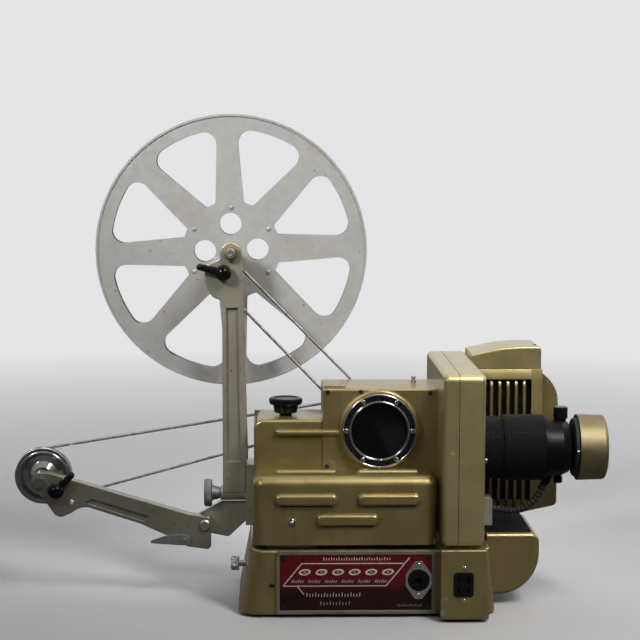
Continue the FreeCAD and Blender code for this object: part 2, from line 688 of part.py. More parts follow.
def make_main_plate():
    plate = new_body("main_plate")
    pad(plate, "Y", "plate_front", "plate_back",
        polygon(("housing_left", "base_top"), ("case_right", "base_top"), ("case_right", "case_top"),
                ("case_left", "case_top"), ("case_left", "housing_top"), ("housing_left", "housing_top")))
    radius = "shaft_radius + running_gap"
    holes = [circle("main_x", "main_z", radius), circle("drum_x", "drum_z", radius)]
    for angle in ("upper_sprocket_angle", "lower_sprocket_angle"):
        x, z = sprocket_place(angle)
        holes.append(circle(x, z, radius))
    pocket(plate, "Y", "plate_front", "plate_back", *holes)
    node("main_plate", plate)


def make_fan_casing():
    wall = "case_wall"
    motor_hole = circle("motor_y", "motor_z", "shaft_radius + 3")
    light = circle("optical_y", "optical_z", "light_hole")
    outline = rectangle("fan_front", "fan_low", "fan_back", "fan_top")
    hollow = rectangle(f"fan_front + {wall}", f"fan_low + {wall}", f"fan_back - {wall}",
                       f"fan_top - {wall}")
    corners = any_of(*[corner_at("X", y, z) for y in ("fan_front", "fan_back")
                       for z in ("fan_low", "fan_top")])
    left = new_body("fan_casing_left")
    pad(left, "X", "fan_left", "fan_split", outline)
    round_edges(left, "fan_corner", corners)
    round_edges(left, 6, flat_at("X", "fan_left"))
    pocket(left, "X", f"fan_left + {wall}", "fan_split", hollow)
    pocket(left, "X", "fan_left", f"fan_left + {wall}", light,
           circle("shutter_y", SHUTTER_Z, "shaft_radius + 3"))
    node("fan_casing_left", left)

    right = new_body("fan_casing_right")
    pad(right, "X", "fan_split", "fan_right", outline)
    round_edges(right, "fan_corner", corners)
    round_edges(right, 6, flat_at("X", "fan_right"))
    pocket(right, "X", "fan_split", f"fan_right - {wall}", hollow)
    pocket(right, "X", f"fan_right - {wall}", "fan_right", motor_hole, light)
    node("fan_casing_right", right)

    impeller = turned("fan_impeller", "X", ("motor_y", "motor_z"),
                      [("fan_split + 4", "shaft_radius"), ("fan_split + 4", 11), ("fan_split + 22", 11),
                       ("fan_split + 22", "impeller_radius"), ("fan_split + 24", "impeller_radius"),
                       ("fan_split + 24", "shaft_radius")])
    half = 0.8
    sketch = draw(impeller, "YZ", [rectangle(10, -half, "impeller_radius", half)],
                  ("motor_y", "motor_z", "fan_split + 6"))
    blade = impeller.newObject("PartDesign::Pad", "fan_blade")
    blade.Profile = sketch
    blade.Length = 17
    doc.recompute()
    repeat(impeller, blade, "blade_count")
    node("fan_impeller", impeller)


# ---------------------------------------------------------------- gears and shafts

def gear_teeth(body, axis, centre, low, high, teeth, phase):
    """Straight-flanked teeth on the body: one tooth padded at a phase angle, then repeated."""
    pitch = size(f"gear_module * {teeth} / 2")
    module = size("gear_module")
    root, tip = pitch - 1.25 * module, pitch + 0.9 * module
    half_root, half_tip = 0.98 * module, 0.30 * module
    turn = math.radians(phase)
    along = (math.cos(turn), math.sin(turn))
    across = (-math.sin(turn), math.cos(turn))

    def spot(radius, side):
        return (round(radius * along[0] + side * across[0], 4),
                round(radius * along[1] + side * across[1], 4))
    plane = AXIS_PLANE[axis]
    first, second = centre
    level = low if MATING[plane] > 0 else f"-({low})"
    sketch = draw(body, plane, [polygon(spot(root - 0.6, -half_root), spot(tip, -half_tip),
                                        spot(tip, half_tip), spot(root - 0.6, half_root))],
                  (first, second, level))
    tooth = body.newObject("PartDesign::Pad", f"{body.Name}_tooth")
    tooth.Profile = sketch
    tooth.setExpression("Length", words(f"({high}) - ({low})"))
    tooth.Reversed = plane == "XZ"
    doc.recompute()
    return repeat(body, tooth, teeth)


def meshing_phase(place, teeth, other_teeth, other_phase=0.0):
    """Phase in degrees that puts a gear's teeth in the gaps of another gear at this angle."""
    offset = (other_phase - place) * other_teeth / 360 + 0.5
    return place + 180 - 360 / teeth * offset


def groove(level, radius):
    """Profile corners of a groove that clears a round belt bedded at this radius."""
    bottom = f"{radius} - belt_radius"
    return [(f"{level} - 3", f"{radius} + 2.4"), (f"{level} - 2.1", bottom),
            (f"{level} + 2.1", bottom), (f"{level} + 3", f"{radius} + 2.4")]


def make_gear_train():
    shaft = "shaft_radius"
    root = "gear_module * (main_teeth / 2 - 1.25)"
    wheel = f"main_z - ({SHUTTER_Z}) - 7.3"
    main = turned("main_gear", "Y", ("main_x", "main_z"),
                  [("gear_low - 4", 0), ("gear_low - 4", shaft), ("gear_low", shaft),
                   ("gear_low", root), ("gear_high", root), ("gear_high", shaft),
                   ("shutter_y - 5", shaft), ("shutter_y - 5", wheel), ("shutter_y + 5", wheel),
                   ("shutter_y + 5", shaft), ("lower_belt_y + 8", shaft), ("lower_belt_y + 8", 0)])
    gear_teeth(main, "Y", ("main_x", "main_z"), "gear_low", "gear_high", "main_teeth", 0.0)
    node("main_gear", main)

    pulley = turned("drive_pulley", "Y", ("main_x", "main_z"),
                    [("plate_back + 0.6", shaft), ("plate_back + 0.6", "drive_large + 2.4"),
                     *groove("upper_belt_y", "drive_large"), ("upper_belt_y + 3.4", "drive_large + 2.4"),
                     ("upper_belt_y + 3.4", "drive_small + 2.4"),
                     *groove("lower_belt_y", "drive_small"), ("lower_belt_y + 5", "drive_small + 2.4"),
                     ("lower_belt_y + 5", shaft)])
    node("drive_pulley", pulley)

    for name, alias in (("upper_sprocket", "upper_sprocket_angle"),
                        ("lower_sprocket", "lower_sprocket_angle")):
        place = sprocket_place(alias)
        pinion_root = "gear_module * (sprocket_pinion_teeth / 2 - 1.25)"
        body = turned(name, "Y", place,
                      [("gear_low", 0), ("gear_low", pinion_root), ("gear_high", pinion_root),
                       ("gear_high", shaft), ("optical_y - 10", shaft),
                       ("optical_y - 10", "sprocket_radius + 1.5"),
                       ("optical_y - 8.4", "sprocket_radius + 1.5"), ("optical_y - 8.4", "sprocket_radius"),
                       ("optical_y - 5", "sprocket_radius"), ("optical_y - 5", "sprocket_radius - 1.2"),
                       ("optical_y + 5", "sprocket_radius - 1.2"), ("optical_y + 5", "sprocket_radius"),
                       ("optical_y + 8.4", "sprocket_radius"), ("optical_y + 8.4", "sprocket_radius + 1.5"),
                       ("optical_y + 10", "sprocket_radius + 1.5"), ("optical_y + 11.5", 7),
                       ("optical_y + 11.5", 0)])
        phase = meshing_phase(size(alias), size("sprocket_pinion_teeth"), size("main_teeth"))
        gear_teeth(body, "Y", place, "gear_low", "gear_high", "sprocket_pinion_teeth", phase)
        sketch = draw(body, "XZ", [polygon(("sprocket_radius - 0.5", -0.9), ("sprocket_radius + 1.2", -0.5),
                                           ("sprocket_radius + 1.2", 0.5), ("sprocket_radius - 0.5", 0.9))],
                      (*place, "-(optical_y - 7.4)"))
        tooth = body.newObject("PartDesign::Pad", f"{name}_film_tooth")
        tooth.Profile = sketch
        tooth.Length = 1.4
        tooth.Reversed = True
        doc.recompute()
        repeat(body, tooth, "sprocket_teeth")
        node(name, body)

    drum = turned("sound_drum", "Y", ("drum_x", "drum_z"),
                  [(22, 0), (22, shaft), (28, shaft), (28, "flywheel_radius"), (41, "flywheel_radius"),
                   (41, shaft), ("optical_y - 10", shaft), ("optical_y - 10", 13.5),
                   ("optical_y - 8.4", 13.5), ("optical_y - 8.4", 12), ("optical_y + 7", 12),
                   ("optical_y + 7", 0)])
    node("sound_drum", drum)


def make_motor():
    centre = ("motor_y", "motor_z")
    shaft = "shaft_radius"
    place = math.degrees(math.atan2(size(f"{SHUTTER_Z} - motor_z"), size("shutter_y - motor_y")))
    pinion_low, pinion_high = "fan_split - 9", "fan_split - 3"
    pinion_root = "gear_module * (motor_teeth / 2 - 1.25)"
    rotor = turned("motor_rotor", "X", centre,
                   [(pinion_low, 0), (pinion_low, pinion_root), (pinion_high, pinion_root),
                    (pinion_high, shaft), ("flange_end - 8", shaft), ("flange_end - 8", 30),
                    ("body_end - 8", 30), ("body_end - 8", shaft), ("grip_end", shaft),
                    ("grip_end", 13), ("grip_end + 1.4", 12.4), ("grip_end + 3.2", 8),
                    ("grip_end + 4", 0)])
    gear_teeth(rotor, "X", centre, pinion_low, pinion_high, "motor_teeth", 0.0)
    node("motor_rotor", rotor)

    body = turned("motor_body", "X", centre,
                  [("fan_right", "shaft_radius + 3"), ("fan_right", "motor_radius - 2"),
                   ("flange_end - 4", "motor_radius - 2"), ("flange_end - 4", "motor_radius - 0.6"),
                   ("flange_end", "motor_radius"), ("body_end", "motor_radius"),
                   ("body_end", "motor_radius - 5"), ("fan_right + 6", "motor_radius - 7"),
                   ("fan_right + 6", "shaft_radius + 3")])
    node("motor_body", body)

    bell = turned("motor_end_bell", "X", centre,
                  [("body_end", "bell_radius - 4"), ("body_end", "bell_radius + 3"),
                   ("body_end + 3", "bell_radius + 3"), ("body_end + 3", "bell_radius"),
                   ("bell_end - 14", "bell_radius - 0.6"), ("bell_end - 5", "bell_radius - 4.5"),
                   ("bell_end - 1.2", "bell_radius - 12"), ("bell_end", 16), ("bell_end", 5),
                   ("bell_end - 6", 5), ("bell_end - 6", "bell_radius - 9"),
                   ("bell_end - 14", "bell_radius - 4")])
    holes = [rod("brush_hole", "Z", (413, "motor_y"), "motor_z + 20", "motor_z + 60", 7),
             rod("brush_hole", "Z", (411, "motor_y"), "motor_z - 60", "motor_z - 20", 4)]
    gland = doc.addObject("Part::Cylinder", "conduit_gland")
    gland.Radius = CONDUIT_RADIUS + 1.4
    gland.Height = 12
    end = Vector(*CONDUIT_POINTS[-1])
    gland.Placement = Placement(end, Rotation(Vector(0, 0, 1), end - Vector(*CONDUIT_POINTS[-2])))
    doc.recompute()
    beside = box("gland_side", ("body_end - 12", "motor_y - 12", "motor_z - 60"),
                 ("body_end + 0.3", "motor_y + 12", "motor_z - 20"))
    parts = [cut("bell_drilled", bell, holes), cut("gland_trimmed", gland, [beside])]
    node("motor_end_bell", fuse("motor_end_bell", parts))

    upper = turned("brush_cap", "Z", (413, "motor_y"),
                   [("motor_z + 22", 0), ("motor_z + 22", 6.9), ("motor_z + bell_radius + 0.6", 6.9),
                    ("motor_z + bell_radius + 0.6", 8.8), ("motor_z + 50", 8.8), ("motor_z + 51", 7.8),
                    ("motor_z + 51", 0)])
    lower = turned("brush_cap", "Z", (411, "motor_y"),
                   [("motor_z - 45", 0), ("motor_z - 45", 4.6), ("motor_z - 44", 5.6),
                    ("motor_z - bell_radius - 0.6", 5.6), ("motor_z - bell_radius - 0.6", 3.9),
                    ("motor_z - 22", 3.9), ("motor_z - 22", 0)])
    node("brush_caps", together("brush_caps", [upper, lower]))

    grip = turned("inching_knob", "X", centre,
                  [("grip_start", "grip_radius - 2.4"), ("grip_start", "grip_radius"),
                   ("grip_end - 4", "grip_radius - 0.8"), ("grip_end - 1.2", "grip_radius - 2"),
                   ("grip_end", "grip_radius - 4.8"), ("grip_end", shaft), ("grip_end - 24", shaft),
                   ("grip_end - 24", 9), ("grip_end - 4", 9), ("grip_end - 4", "grip_radius - 3.2")])
    node("inching_knob", grip)

    shutter_centre = ("shutter_y", SHUTTER_Z)
    root = "gear_module * (shutter_teeth / 2 - 1.25)"
    body = turned("shutter", "X", shutter_centre,
                  [("main_x - 16", 0), ("main_x - 16", shaft), ("main_x - 12", shaft), ("main_x - 12", 7),
                   ("main_x + 12", 7), ("main_x + 12", shaft), ("fan_left + 6.5", shaft),
                   ("fan_left + 6.5", "shutter_radius"), ("fan_left + 7.5", "shutter_radius"),
                   ("fan_left + 7.5", 14), (pinion_low, 14), (pinion_low, root), (pinion_high, root),
                   (pinion_high, 0)])
    phase = meshing_phase(place, size("shutter_teeth"), size("motor_teeth"))
    gear_teeth(body, "X", shutter_centre, pinion_low, pinion_high, "shutter_teeth", phase)
    gap = []
    for turn in range(3):
        corners = []
        for angle, radius in ((-30, 46), (-30, 110), (0, 125), (30, 110), (30, 46)):
            swing = math.radians(120 * turn + 60 + angle)
            corners.append((f"shutter_y + {radius * math.cos(swing):.3f}",
                            f"{SHUTTER_Z} + {radius * math.sin(swing):.3f}"))
        gap.append(polygon(*corners))
    pocket(body, "X", "fan_left + 6.5", "fan_left + 7.5", *gap)
    node("shutter", body)


# ---------------------------------------------------------------- lamphouse and rear housing

def lamphouse_block(name, front, back, inset, wall="0"):
    """Lamphouse seen from the operator's side: sloping foot, straight right side, broad shoulder."""
    left, right = f"fan_right + {wall}", f"lamp_right - {inset} - {wall}"
    low, high = f"lamp_low + {wall}", f"hood_low - {wall}"
    foot, shoulder = f"{low} + foot_rise", f"lamp_shoulder - {wall}"
    return block(name, "Y", front, back,
                 [(left, low), ("foot_start", low), (right, foot), (right, high), (left, high)],
                 [(6, (right, foot)), (shoulder, (right, high))])


def make_lamphouse():
    wall, skin = "lamp_wall", 5
    shell = lamphouse_block("lamphouse_shell", "lamp_front", "lamp_back", skin)
    side_fins = []
    for number in range(7):
        level = f"lamp_front + 1 + {number} * fin_pitch"
        side_fins.append(lamphouse_block("side_fin", level, f"{level} + fin_width", 0))
    slot_low, slot_high = 118, 276
    front, back = "lamp_front - fin_depth", "lamp_back + fin_depth"
    face_fins = []
    for number in range(7):
        x = f"fan_right + 24 + {number} * fin_pitch"
        fin = block("face_fin", "X", x, f"{x} + fin_width",
                    [(front, slot_low), ("lamp_front + 2", slot_low - 12),
                     ("lamp_back - 2", slot_low - 12), (back, slot_low), (back, slot_high - 6),
                     ("lamp_back - 2", "hood_low - 2"), ("lamp_front + 2", "hood_low - 2"),
                     (front, slot_high - 6)],
                    [(9, (front, slot_low), (back, slot_low)),
                     (16, (front, slot_high - 6), (back, slot_high - 6))])
        face_fins.append(fin)
    limit = lamphouse_block("fin_limit", f"{front} - 1", f"{back} + 1", 0)
    fins = common("fins_in_outline", fuse("face_fins", face_fins), limit)
    hollow = lamphouse_block("lamphouse_hollow", f"lamp_front + {wall}", f"lamp_back - {wall}", skin, wall)
    mouth = box("lamphouse_mouth", ("fan_right + 6", "lamp_front + 6", f"hood_low - {wall} - 1"),
                ("lamp_right - lamp_shoulder - 12", "lamp_back - 6", "hood_low + 1"))
    slots = []
    for number in range(7):
        x = f"fan_right + 24 + fin_width + {number - 1} * fin_pitch"
        slots.append(box("vent_slot", (x, f"{front} - 1", slot_low),
                         (f"{x} + fin_pitch - fin_width", f"{back} + 1", slot_high)))
    light = rod("lamphouse_light", "X", ("optical_y", "optical_z"), "fan_right - 1", "fan_right + 4",
                "light_hole")
    solid = fuse("lamphouse_solid", [shell, fins] + side_fins)
    node("lamphouse_body", cut("lamphouse_body", solid, [hollow, mouth, light] + slots))

    side, roof = 3, 4
    hood = block("lamphouse_hood", "Y", "lamp_front - 4", "lamp_back + 2",
                 [("fan_right", "hood_low"), ("hood_foot", "hood_low"),
                  ("hood_right", "hood_low - hood_drop"), ("hood_right", "hood_top"),
                  ("hood_crown", "hood_top"), ("fan_right", "hood_top - 10")],
                 [(200, ("hood_crown", "hood_top")), (5, ("hood_right", "hood_top"))])
    round_edges(hood, 2.5, lambda edge: edge.BoundBox.ZMin > size("hood_low + 0.1")
                and any_of(flat_at("Y", "lamp_front - 4"), flat_at("Y", "lamp_back + 2"))(edge))
    pocket(hood, "Y", "lamp_front", "lamp_back - 2",
           polygon((f"fan_right + {side}", "hood_low"), ("hood_foot", "hood_low"),
                   (f"hood_right - {side}", "hood_low - hood_drop"),
                   (f"hood_right - {side}", f"hood_top - {roof}"), ("hood_crown", f"hood_top - {roof}"),
                   (f"fan_right + {side}", f"hood_top - 9 - {roof}")))
    node("lamphouse_hood", hood)

    bulb = turned("projection_lamp", "Z", (358, "optical_y"),
                  [("lamp_low + 3", 0), ("lamp_low + 3", 15), ("lamp_low + 6", 19), ("lamp_low + 40", 19),
                   ("lamp_low + 40", 14), ("lamp_low + 70", 14), ("lamp_low + 78", 16),
                   ("optical_z + 26", 16), ("optical_z + 38", 9), ("optical_z + 41", 0)])
    node("projection_lamp", bulb)

    rear = block("rear_housing_shell", "Y", "rear_front", "rear_back",
                 [("base_right", "rear_low"), ("rear_right", "rear_low"), ("rear_right", "rear_top"),
                  ("base_right_top + 0.6", "rear_top"), ("base_right_top + 0.6", "base_top")],
                 [(52, ("rear_right", "rear_low")), (12, ("rear_right", "rear_top"))])
    faces = any_of(flat_at("Y", "rear_front"), flat_at("Y", "rear_back"))
    round_edges(rear, 5, lambda edge: faces(edge) and edge.BoundBox.XMax > size("base_right + 1")
                and edge.BoundBox.XMin > size("base_right_top - 1"))
    tools = []
    for number in range(5):
        x = 336 + 9 * number
        tools.append(box("rear_slot", (x, "rear_front + 24", "rear_top - 6"),
                         (x + 4, "rear_back - 24", "rear_top + 1")))
    inner = block("rear_inner", "Y", "rear_front + 3", "rear_back - 3",
                  [("base_right + 3", "rear_low + 3"), ("rear_right - 3", "rear_low + 3"),
                   ("rear_right - 3", "rear_top - 3"), ("base_right + 3", "rear_top - 3")],
                  [(49, ("rear_right - 3", "rear_low + 3")), (9, ("rear_right - 3", "rear_top - 3"))])
    node("rear_housing", cut("rear_housing", rear, [inner] + tools))


def rounded_route(points):
    """Straight runs joined by tangent arcs, each arc as large as its two runs allow."""
    spots = [Vector(*point) for point in points]
    edges = []
    start = spots[0]
    for before, corner, after in zip(spots, spots[1:], spots[2:]):
        arriving = (corner - before).normalize()
        leaving = (after - corner).normalize()
        half_turn = arriving.getAngle(leaving) / 2
        setback = 0.45 * min((corner - before).Length, (after - corner).Length)
        radius = setback / math.tan(half_turn)
        entry = corner - arriving * setback
        departure = corner + leaving * setback
        inward = (leaving - arriving).normalize()
        centre = corner + inward * (radius / math.cos(half_turn))
        middle = centre - inward * radius
        edges.append(Part.LineSegment(start, entry).toShape())
        edges.append(Part.Arc(entry, middle, departure).toShape())
        start = departure
        print(f"conduit bend radius {radius:.1f} mm")
    edges.append(Part.LineSegment(start, spots[-1]).toShape())
    return Part.Wire(edges)


def make_conduit():
    route = rounded_route(CONDUIT_POINTS)
    start = Vector(*CONDUIT_POINTS[0])
    heading = Vector(*CONDUIT_POINTS[1]) - start
    ring = Part.Wire(Part.Circle(start, heading, CONDUIT_RADIUS).toShape())
    tube = route.makePipeShell([ring], True, False)
    section = math.pi * CONDUIT_RADIUS ** 2
    print(f"conduit length {route.Length:.1f} mm, volume {tube.Volume:.0f}, "
          f"section x length {section * route.Length:.0f}")
    conduit = doc.addObject("Part::Feature", "motor_conduit")
    conduit.Shape = tube
    node("motor_conduit", conduit)

    bracket = block("conduit_bracket_block", "Y", -14, 10,
                    [("fan_right", 106), (328, 106), (328, 141.5), ("fan_right", 141.5)],
                    [(4, (328, 141.5)), (2, (328, 106))])
    socket = rod("bracket_socket", "X", (-3, 125.5), 321, 329, CONDUIT_RADIUS + 0.9)
    node("conduit_bracket", cut("conduit_bracket", bracket, [socket]))


# ---------------------------------------------------------------- film gate and lens

def make_gate():
    plate = block("gate_plate", "X", "gate_x", "gate_x + 8",
                  [("plate_back", "optical_z - 42"), ("optical_y + 18", "optical_z - 42"),
                   ("optical_y + 18", "optical_z + 34"), ("plate_back", "optical_z + 34")],
                  [(6, ("optical_y + 18", "optical_z - 42"), ("optical_y + 18", "optical_z + 34"))])
    pocket(plate, "X", "gate_x", "gate_x + 8",
           rectangle("optical_y - 5", "optical_z - 4", "optical_y + 5", "optical_z + 4"))
    pocket(plate, "X", "gate_x", "gate_x + 0.8",
           rectangle("optical_y - 8.2", "optical_z - 42", "optical_y + 8.2", "optical_z + 34"))
    bridge = box("gate_bridge", (205, "plate_back", "optical_z - 26"),
                 ("gate_x + 1", "plate_back + 8", "optical_z - 4"))
    foot = box("lens_foot", (205, "plate_back", "optical_z - 10"),
               (225, "optical_y - 10", "optical_z + 10"))
    sleeve = rod("lens_sleeve", "X", ("optical_y", "optical_z"), 200, 230, "lens_radius + 3")
    bore = rod("lens_bore", "X", ("optical_y", "optical_z"), 199, 231, "lens_radius + running_gap")
    solid = fuse("gate_solid", [plate, bridge, foot, sleeve])
    node("film_gate", cut("film_gate", solid, [bore]))

    lens = turned("lens_barrel", "X", ("optical_y", "optical_z"),
                  [("lens_start", 12.5), ("lens_start", 16.5), ("lens_start + 14", 16.5),
                   ("lens_start + 14", 15), ("lens_end", "lens_radius"), ("lens_end", 10),
                   ("lens_end - 6", 10), ("lens_end - 6", 0), ("lens_end - 10", 0),
                   ("lens_end - 10", 10), ("lens_start + 12", 11.5), ("lens_start + 12", 0),
                   ("lens_start + 6", 0), ("lens_start + 6", 12.5)])
    node("lens_barrel", lens)


# ---------------------------------------------------------------- arms, levers and pulleys

def lever(name, x, z, face, angle, length):
    """Black clutch lever: a ball boss with a tapered handle and a stub into the arm's face."""
    boss = ball(f"{name}_boss", (x, f"{face} - 9.5", z), 10.5)
    swing = math.radians(angle)
    grip = doc.addObject("Part::Cone", f"{name}_grip")
    grip.Radius1 = 5.5
    grip.Radius2 = 4.2
    grip.Height = length
    grip.Placement.Rotation = Rotation(Vector(0, 0, 1), Vector(math.cos(swing), 0, math.sin(swing)))
    for letter, expression in zip("xyz", (x, f"{face} - 9.5", z)):
        grip.setExpression(f"Placement.Base.{letter}", words(expression))
    tip = ball(f"{name}_tip", (f"{x} + {length * math.cos(swing):.3f}", f"{face} - 9.5",
                               f"{z} + {length * math.sin(swing):.3f}"), 4.4)
    stub = rod(f"{name}_stub", "Y", (x, z), f"{face} - 4", f"{face} + 6", "shaft_radius")
    body = fuse(f"{name}_solid", [boss, grip, tip])
    trim = box(f"{name}_trim", (f"{x} - 60", f"{face} - 0.4", f"{z} - 60"),
               (f"{x} + 60", f"{face} + 20", f"{z} + 60"))
    node(name, fuse(name, [cut(f"{name}_trimmed", body, [trim]), stub]))


def make_upper_arm():
    arm = block("upper_arm_plate", "Y", "arm_front", "arm_back",
                [(-12.4, 454.4), (14.8, 454.4), (17.4, 392), (23.2, 178), ("flange_left - 0.3", 174.6),
                 ("flange_left - 0.3", 134), (-9, 134),
                 (-9.4, 381), (-21, 385), (-31.5, 402), (-31.5, 426), (-12.4, 434)],
                [(13, (-12.4, 454.4), (14.8, 454.4)), (9, (-31.5, 402), (-31.5, 426)),
                 (7, (-21, 385)), (6, (-9.4, 381), (-12.4, 434))])
    round_edges(arm, 2, flat_at("Y", "arm_front"))
    pocket(arm, "Y", "arm_front", "arm_front + 4",
           polygon((-4, 175), (14, 175), (10.5, 372), (-4.4, 372)))
    pocket(arm, "Y", "arm_front + 12", "arm_back",
           polygon((-5, 160), (18, 160), (13, 374), (-5, 374)))
    barrel = rod("arm_barrel", "X", ("(arm_front + arm_back) / 2", "barrel_z"), -12, "flange_left",
                 "barrel_radius")
    pivot = "shaft_radius + running_gap"
    holes = [rod("spindle_bore", "Y", ("spindle_x", "spindle_z"), "arm_front - 1", "arm_back + 1",
                 "spindle_radius + 1 + running_gap"),
             rod("pulley_bore", "Y", ("upper_pulley_x", "upper_pulley_z"), "arm_front - 1",
                 "arm_back + 1", pivot),
             rod("clamp_bore", "X", ("(arm_front + arm_back) / 2", "barrel_z"), -14,
                 "flange_left + 1", 5.05)]
    node("upper_arm", cut("upper_arm", fuse("upper_arm_solid", [arm, barrel]), holes))

    screw = turned("arm_thumbscrew", "X", ("(arm_front + arm_back) / 2", "barrel_z"),
                   [(-33, 0), (-33, 15.8), (-31.8, 17.2), (-24.2, 17.2), (-23, 15.8), (-23, 10),
                    (-12.4, 7), (-12.4, 5), ("housing_left - 1", 5), ("housing_left - 1", 0)])
    node("arm_thumbscrew", screw)

    lever("upper_clutch_lever", "upper_pulley_x", "upper_pulley_z", "arm_front", 166, 30)

    pulley = turned("upper_pulley", "Y", ("upper_pulley_x", "upper_pulley_z"),
                    [("arm_front + 8", 0), ("arm_front + 8", "shaft_radius"),
                     ("upper_belt_y - 5.5", "shaft_radius"), ("upper_belt_y - 5.5", 9),
                     ("upper_belt_y - 3.8", "upper_pulley + 2.4"), *groove("upper_belt_y", "upper_pulley"),
                     ("upper_belt_y + 3.8", "upper_pulley + 2.4"), ("upper_belt_y + 5", 9),
                     ("upper_belt_y + 5", 0)])
    node("upper_pulley", pulley)

    spindle = turned("reel_spindle", "Y", ("spindle_x", "spindle_z"),
                     [("arm_front - 7", 0), ("arm_front - 7", 5.5), ("arm_front - 5.6", 7),
                      ("arm_front - 0.4", 7), ("arm_front - 0.4", "spindle_radius + 1"),
                      ("seat_face - 5", "spindle_radius + 1"), ("seat_face - 5", 9),
                      ("seat_face", 9), ("seat_face", "spindle_radius"),
                      ("spindle_end - 1", "spindle_radius"), ("spindle_end", "spindle_radius - 1"),
                      ("spindle_end", 0)])
    node("reel_spindle", spindle)


def make_bracket():
    flange = box("bracket_flange", ("flange_left", 36, 96), ("housing_left", "plate_back", 174))
    pad_low = block("bracket_arm", "Y", "lower_arm_back + 0.6", "arm_back + 6",
                    [("flange_left + 1", 122), (-10, 122), ("hinge_x - 10", "hinge_z + 11"),
                     ("hinge_x - 10", "hinge_z - 11"), ("hinge_x + 10", 79), (-2, 75),
                     ("flange_left + 1", 97)],
                    [(9.8, ("hinge_x - 10", "hinge_z + 11"), ("hinge_x - 10", "hinge_z - 11")),
                     (5, (-2, 75))])
    hole = [rod("hinge_bore", "Y", ("hinge_x", "hinge_z"), "arm_front", "arm_back + 8", 5),
            rod("clamp_thread", "X", ("(arm_front + arm_back) / 2", "barrel_z"), "flange_left - 1",
                "housing_left + 1", 5.05)]
    node("arm_bracket", cut("arm_bracket", fuse("bracket_solid", [flange, pad_low]), hole))

    pin = turned("hinge_pin", "Y", ("hinge_x", "hinge_z"),
                 [("lower_arm_front - 3.4", 0), ("lower_arm_front - 3.4", 5.4),
                  ("lower_arm_front - 1.6", 7.4), ("lower_arm_front - 0.3", 7.4),
                  ("lower_arm_front - 0.3", 5), ("arm_back + 6", 5), ("arm_back + 6", 7),
                  ("arm_back + 8", 7), ("arm_back + 8", 0)])
    node("hinge_pin", pin)


def make_lower_arm():
    arm = block("lower_arm_plate", "Y", "lower_arm_front", "lower_arm_back",
                [(-24.3, 103), (-24.3, 61), (-54.4, 65.3), (-82, 80.2), (-113.9, 95), (-179.6, 116.2),
                 (-190.2, 117.3), (-200.7, 109.9), (-215.5, 103.5), (-223, 106.7), (-234, 123),
                 (-255.4, 146), (-247, 161), (-230.5, 161.4), (-158.5, 139.6), (-52.4, 107.7)],
                [(5, (-24.3, 103), (-24.3, 61)), (20, (-190.2, 117.3)), (8, (-215.5, 103.5), (-223, 106.7)),
                 (9, (-255.4, 146), (-247, 161)), (6, (-230.5, 161.4))])
    round_edges(arm, 1.6, flat_at("Y", "lower_arm_front"))
    pocket(arm, "Y", "lower_arm_front", "lower_arm_front + 2.2",
           polygon((-184, 122.5), (-175, 127.5), (-102, 104.5), (-110, 98.2)))
    pocket(arm, "Y", "lower_arm_front + 8", "lower_arm_back",
           polygon((-58, 72), (-176, 122), (-206, 134), (-160, 134), (-60, 104)))
    fit = "shaft_radius + running_gap"
    holes = [rod("arm_hinge_bore", "Y", ("hinge_x", "hinge_z"), "lower_arm_front - 1",
                 "lower_arm_back + 1", "5 + running_gap"),
             rod("takeup_bore", "Y", ("takeup_x", "takeup_z"), "lower_arm_front - 1",
                 "lower_arm_back + 13", "spindle_radius + 1 + running_gap"),
             rod("latch_bore", "Y", (-58, 74.5), "lower_arm_front - 1", "lower_arm_back + 1", 2.55),
             rod("lever_bore", "Y", ("lever_x", "lever_z"), "lower_arm_front - 1",
                 "lower_arm_back + 1", fit),
             rod("arm_hole", "Y", (-201.3, 124), "lower_arm_front - 1", "lower_arm_back + 1", 3)]
    tip = rod("arm_tip", "Y", ("takeup_x", "takeup_z"), "lower_arm_front", "lower_arm_back + 12", 11)
    node("lower_arm", cut("lower_arm", fuse("lower_arm_solid", [arm, tip]), holes))

    lever("lower_clutch_lever", "lever_x", "lever_z", "lower_arm_front", 45, 28)

    pulley = turned("takeup_pulley", "Y", ("takeup_x", "takeup_z"),
                    [("lower_arm_front - 6", 0), ("lower_arm_front - 6", 7),
                     ("lower_arm_front - 0.4", 7), ("lower_arm_front - 0.4", "spindle_radius + 1"),
                     ("lower_belt_y - 9", "spindle_radius + 1"), ("lower_belt_y - 9", 12),
                     ("lower_belt_y - 3", 19), ("lower_belt_y - 1.2", 26),
                     ("lower_belt_y - 5.4", 29.5), ("lower_belt_y - 5.4", "takeup_pulley + 1.4"),
                     ("lower_belt_y - 4", "takeup_pulley + 2.4"),
                     *groove("lower_belt_y", "takeup_pulley"),
                     ("lower_belt_y + 4", "takeup_pulley + 2.4"), ("lower_belt_y + 4", 14),
                     ("seat_face", 14), ("seat_face", "spindle_radius"),
                     ("spindle_end - 1", "spindle_radius"), ("spindle_end", "spindle_radius - 1"),
                     ("spindle_end", 0)])
    node("takeup_pulley", pulley)

    latch = block("latch_lever", "Y", "lower_arm_front - 3.4", "lower_arm_front - 0.4",
                  [(-101, 70.6), (-101, 74), (-84, 79.5), (-62, 81.5), (-50, 78), (-50, 69), (-60, 67.6)],
                  [(3.6, (-50, 78), (-50, 69)), (1.4, (-101, 70.6), (-101, 74))])
    stub = rod("latch_stub", "Y", (-58, 74.5), "lower_arm_front - 5", "lower_arm_front + 5", 2.5)
    node("latch_lever", fuse("latch_lever_whole", [latch, stub]))


# ---------------------------------------------------------------- reel

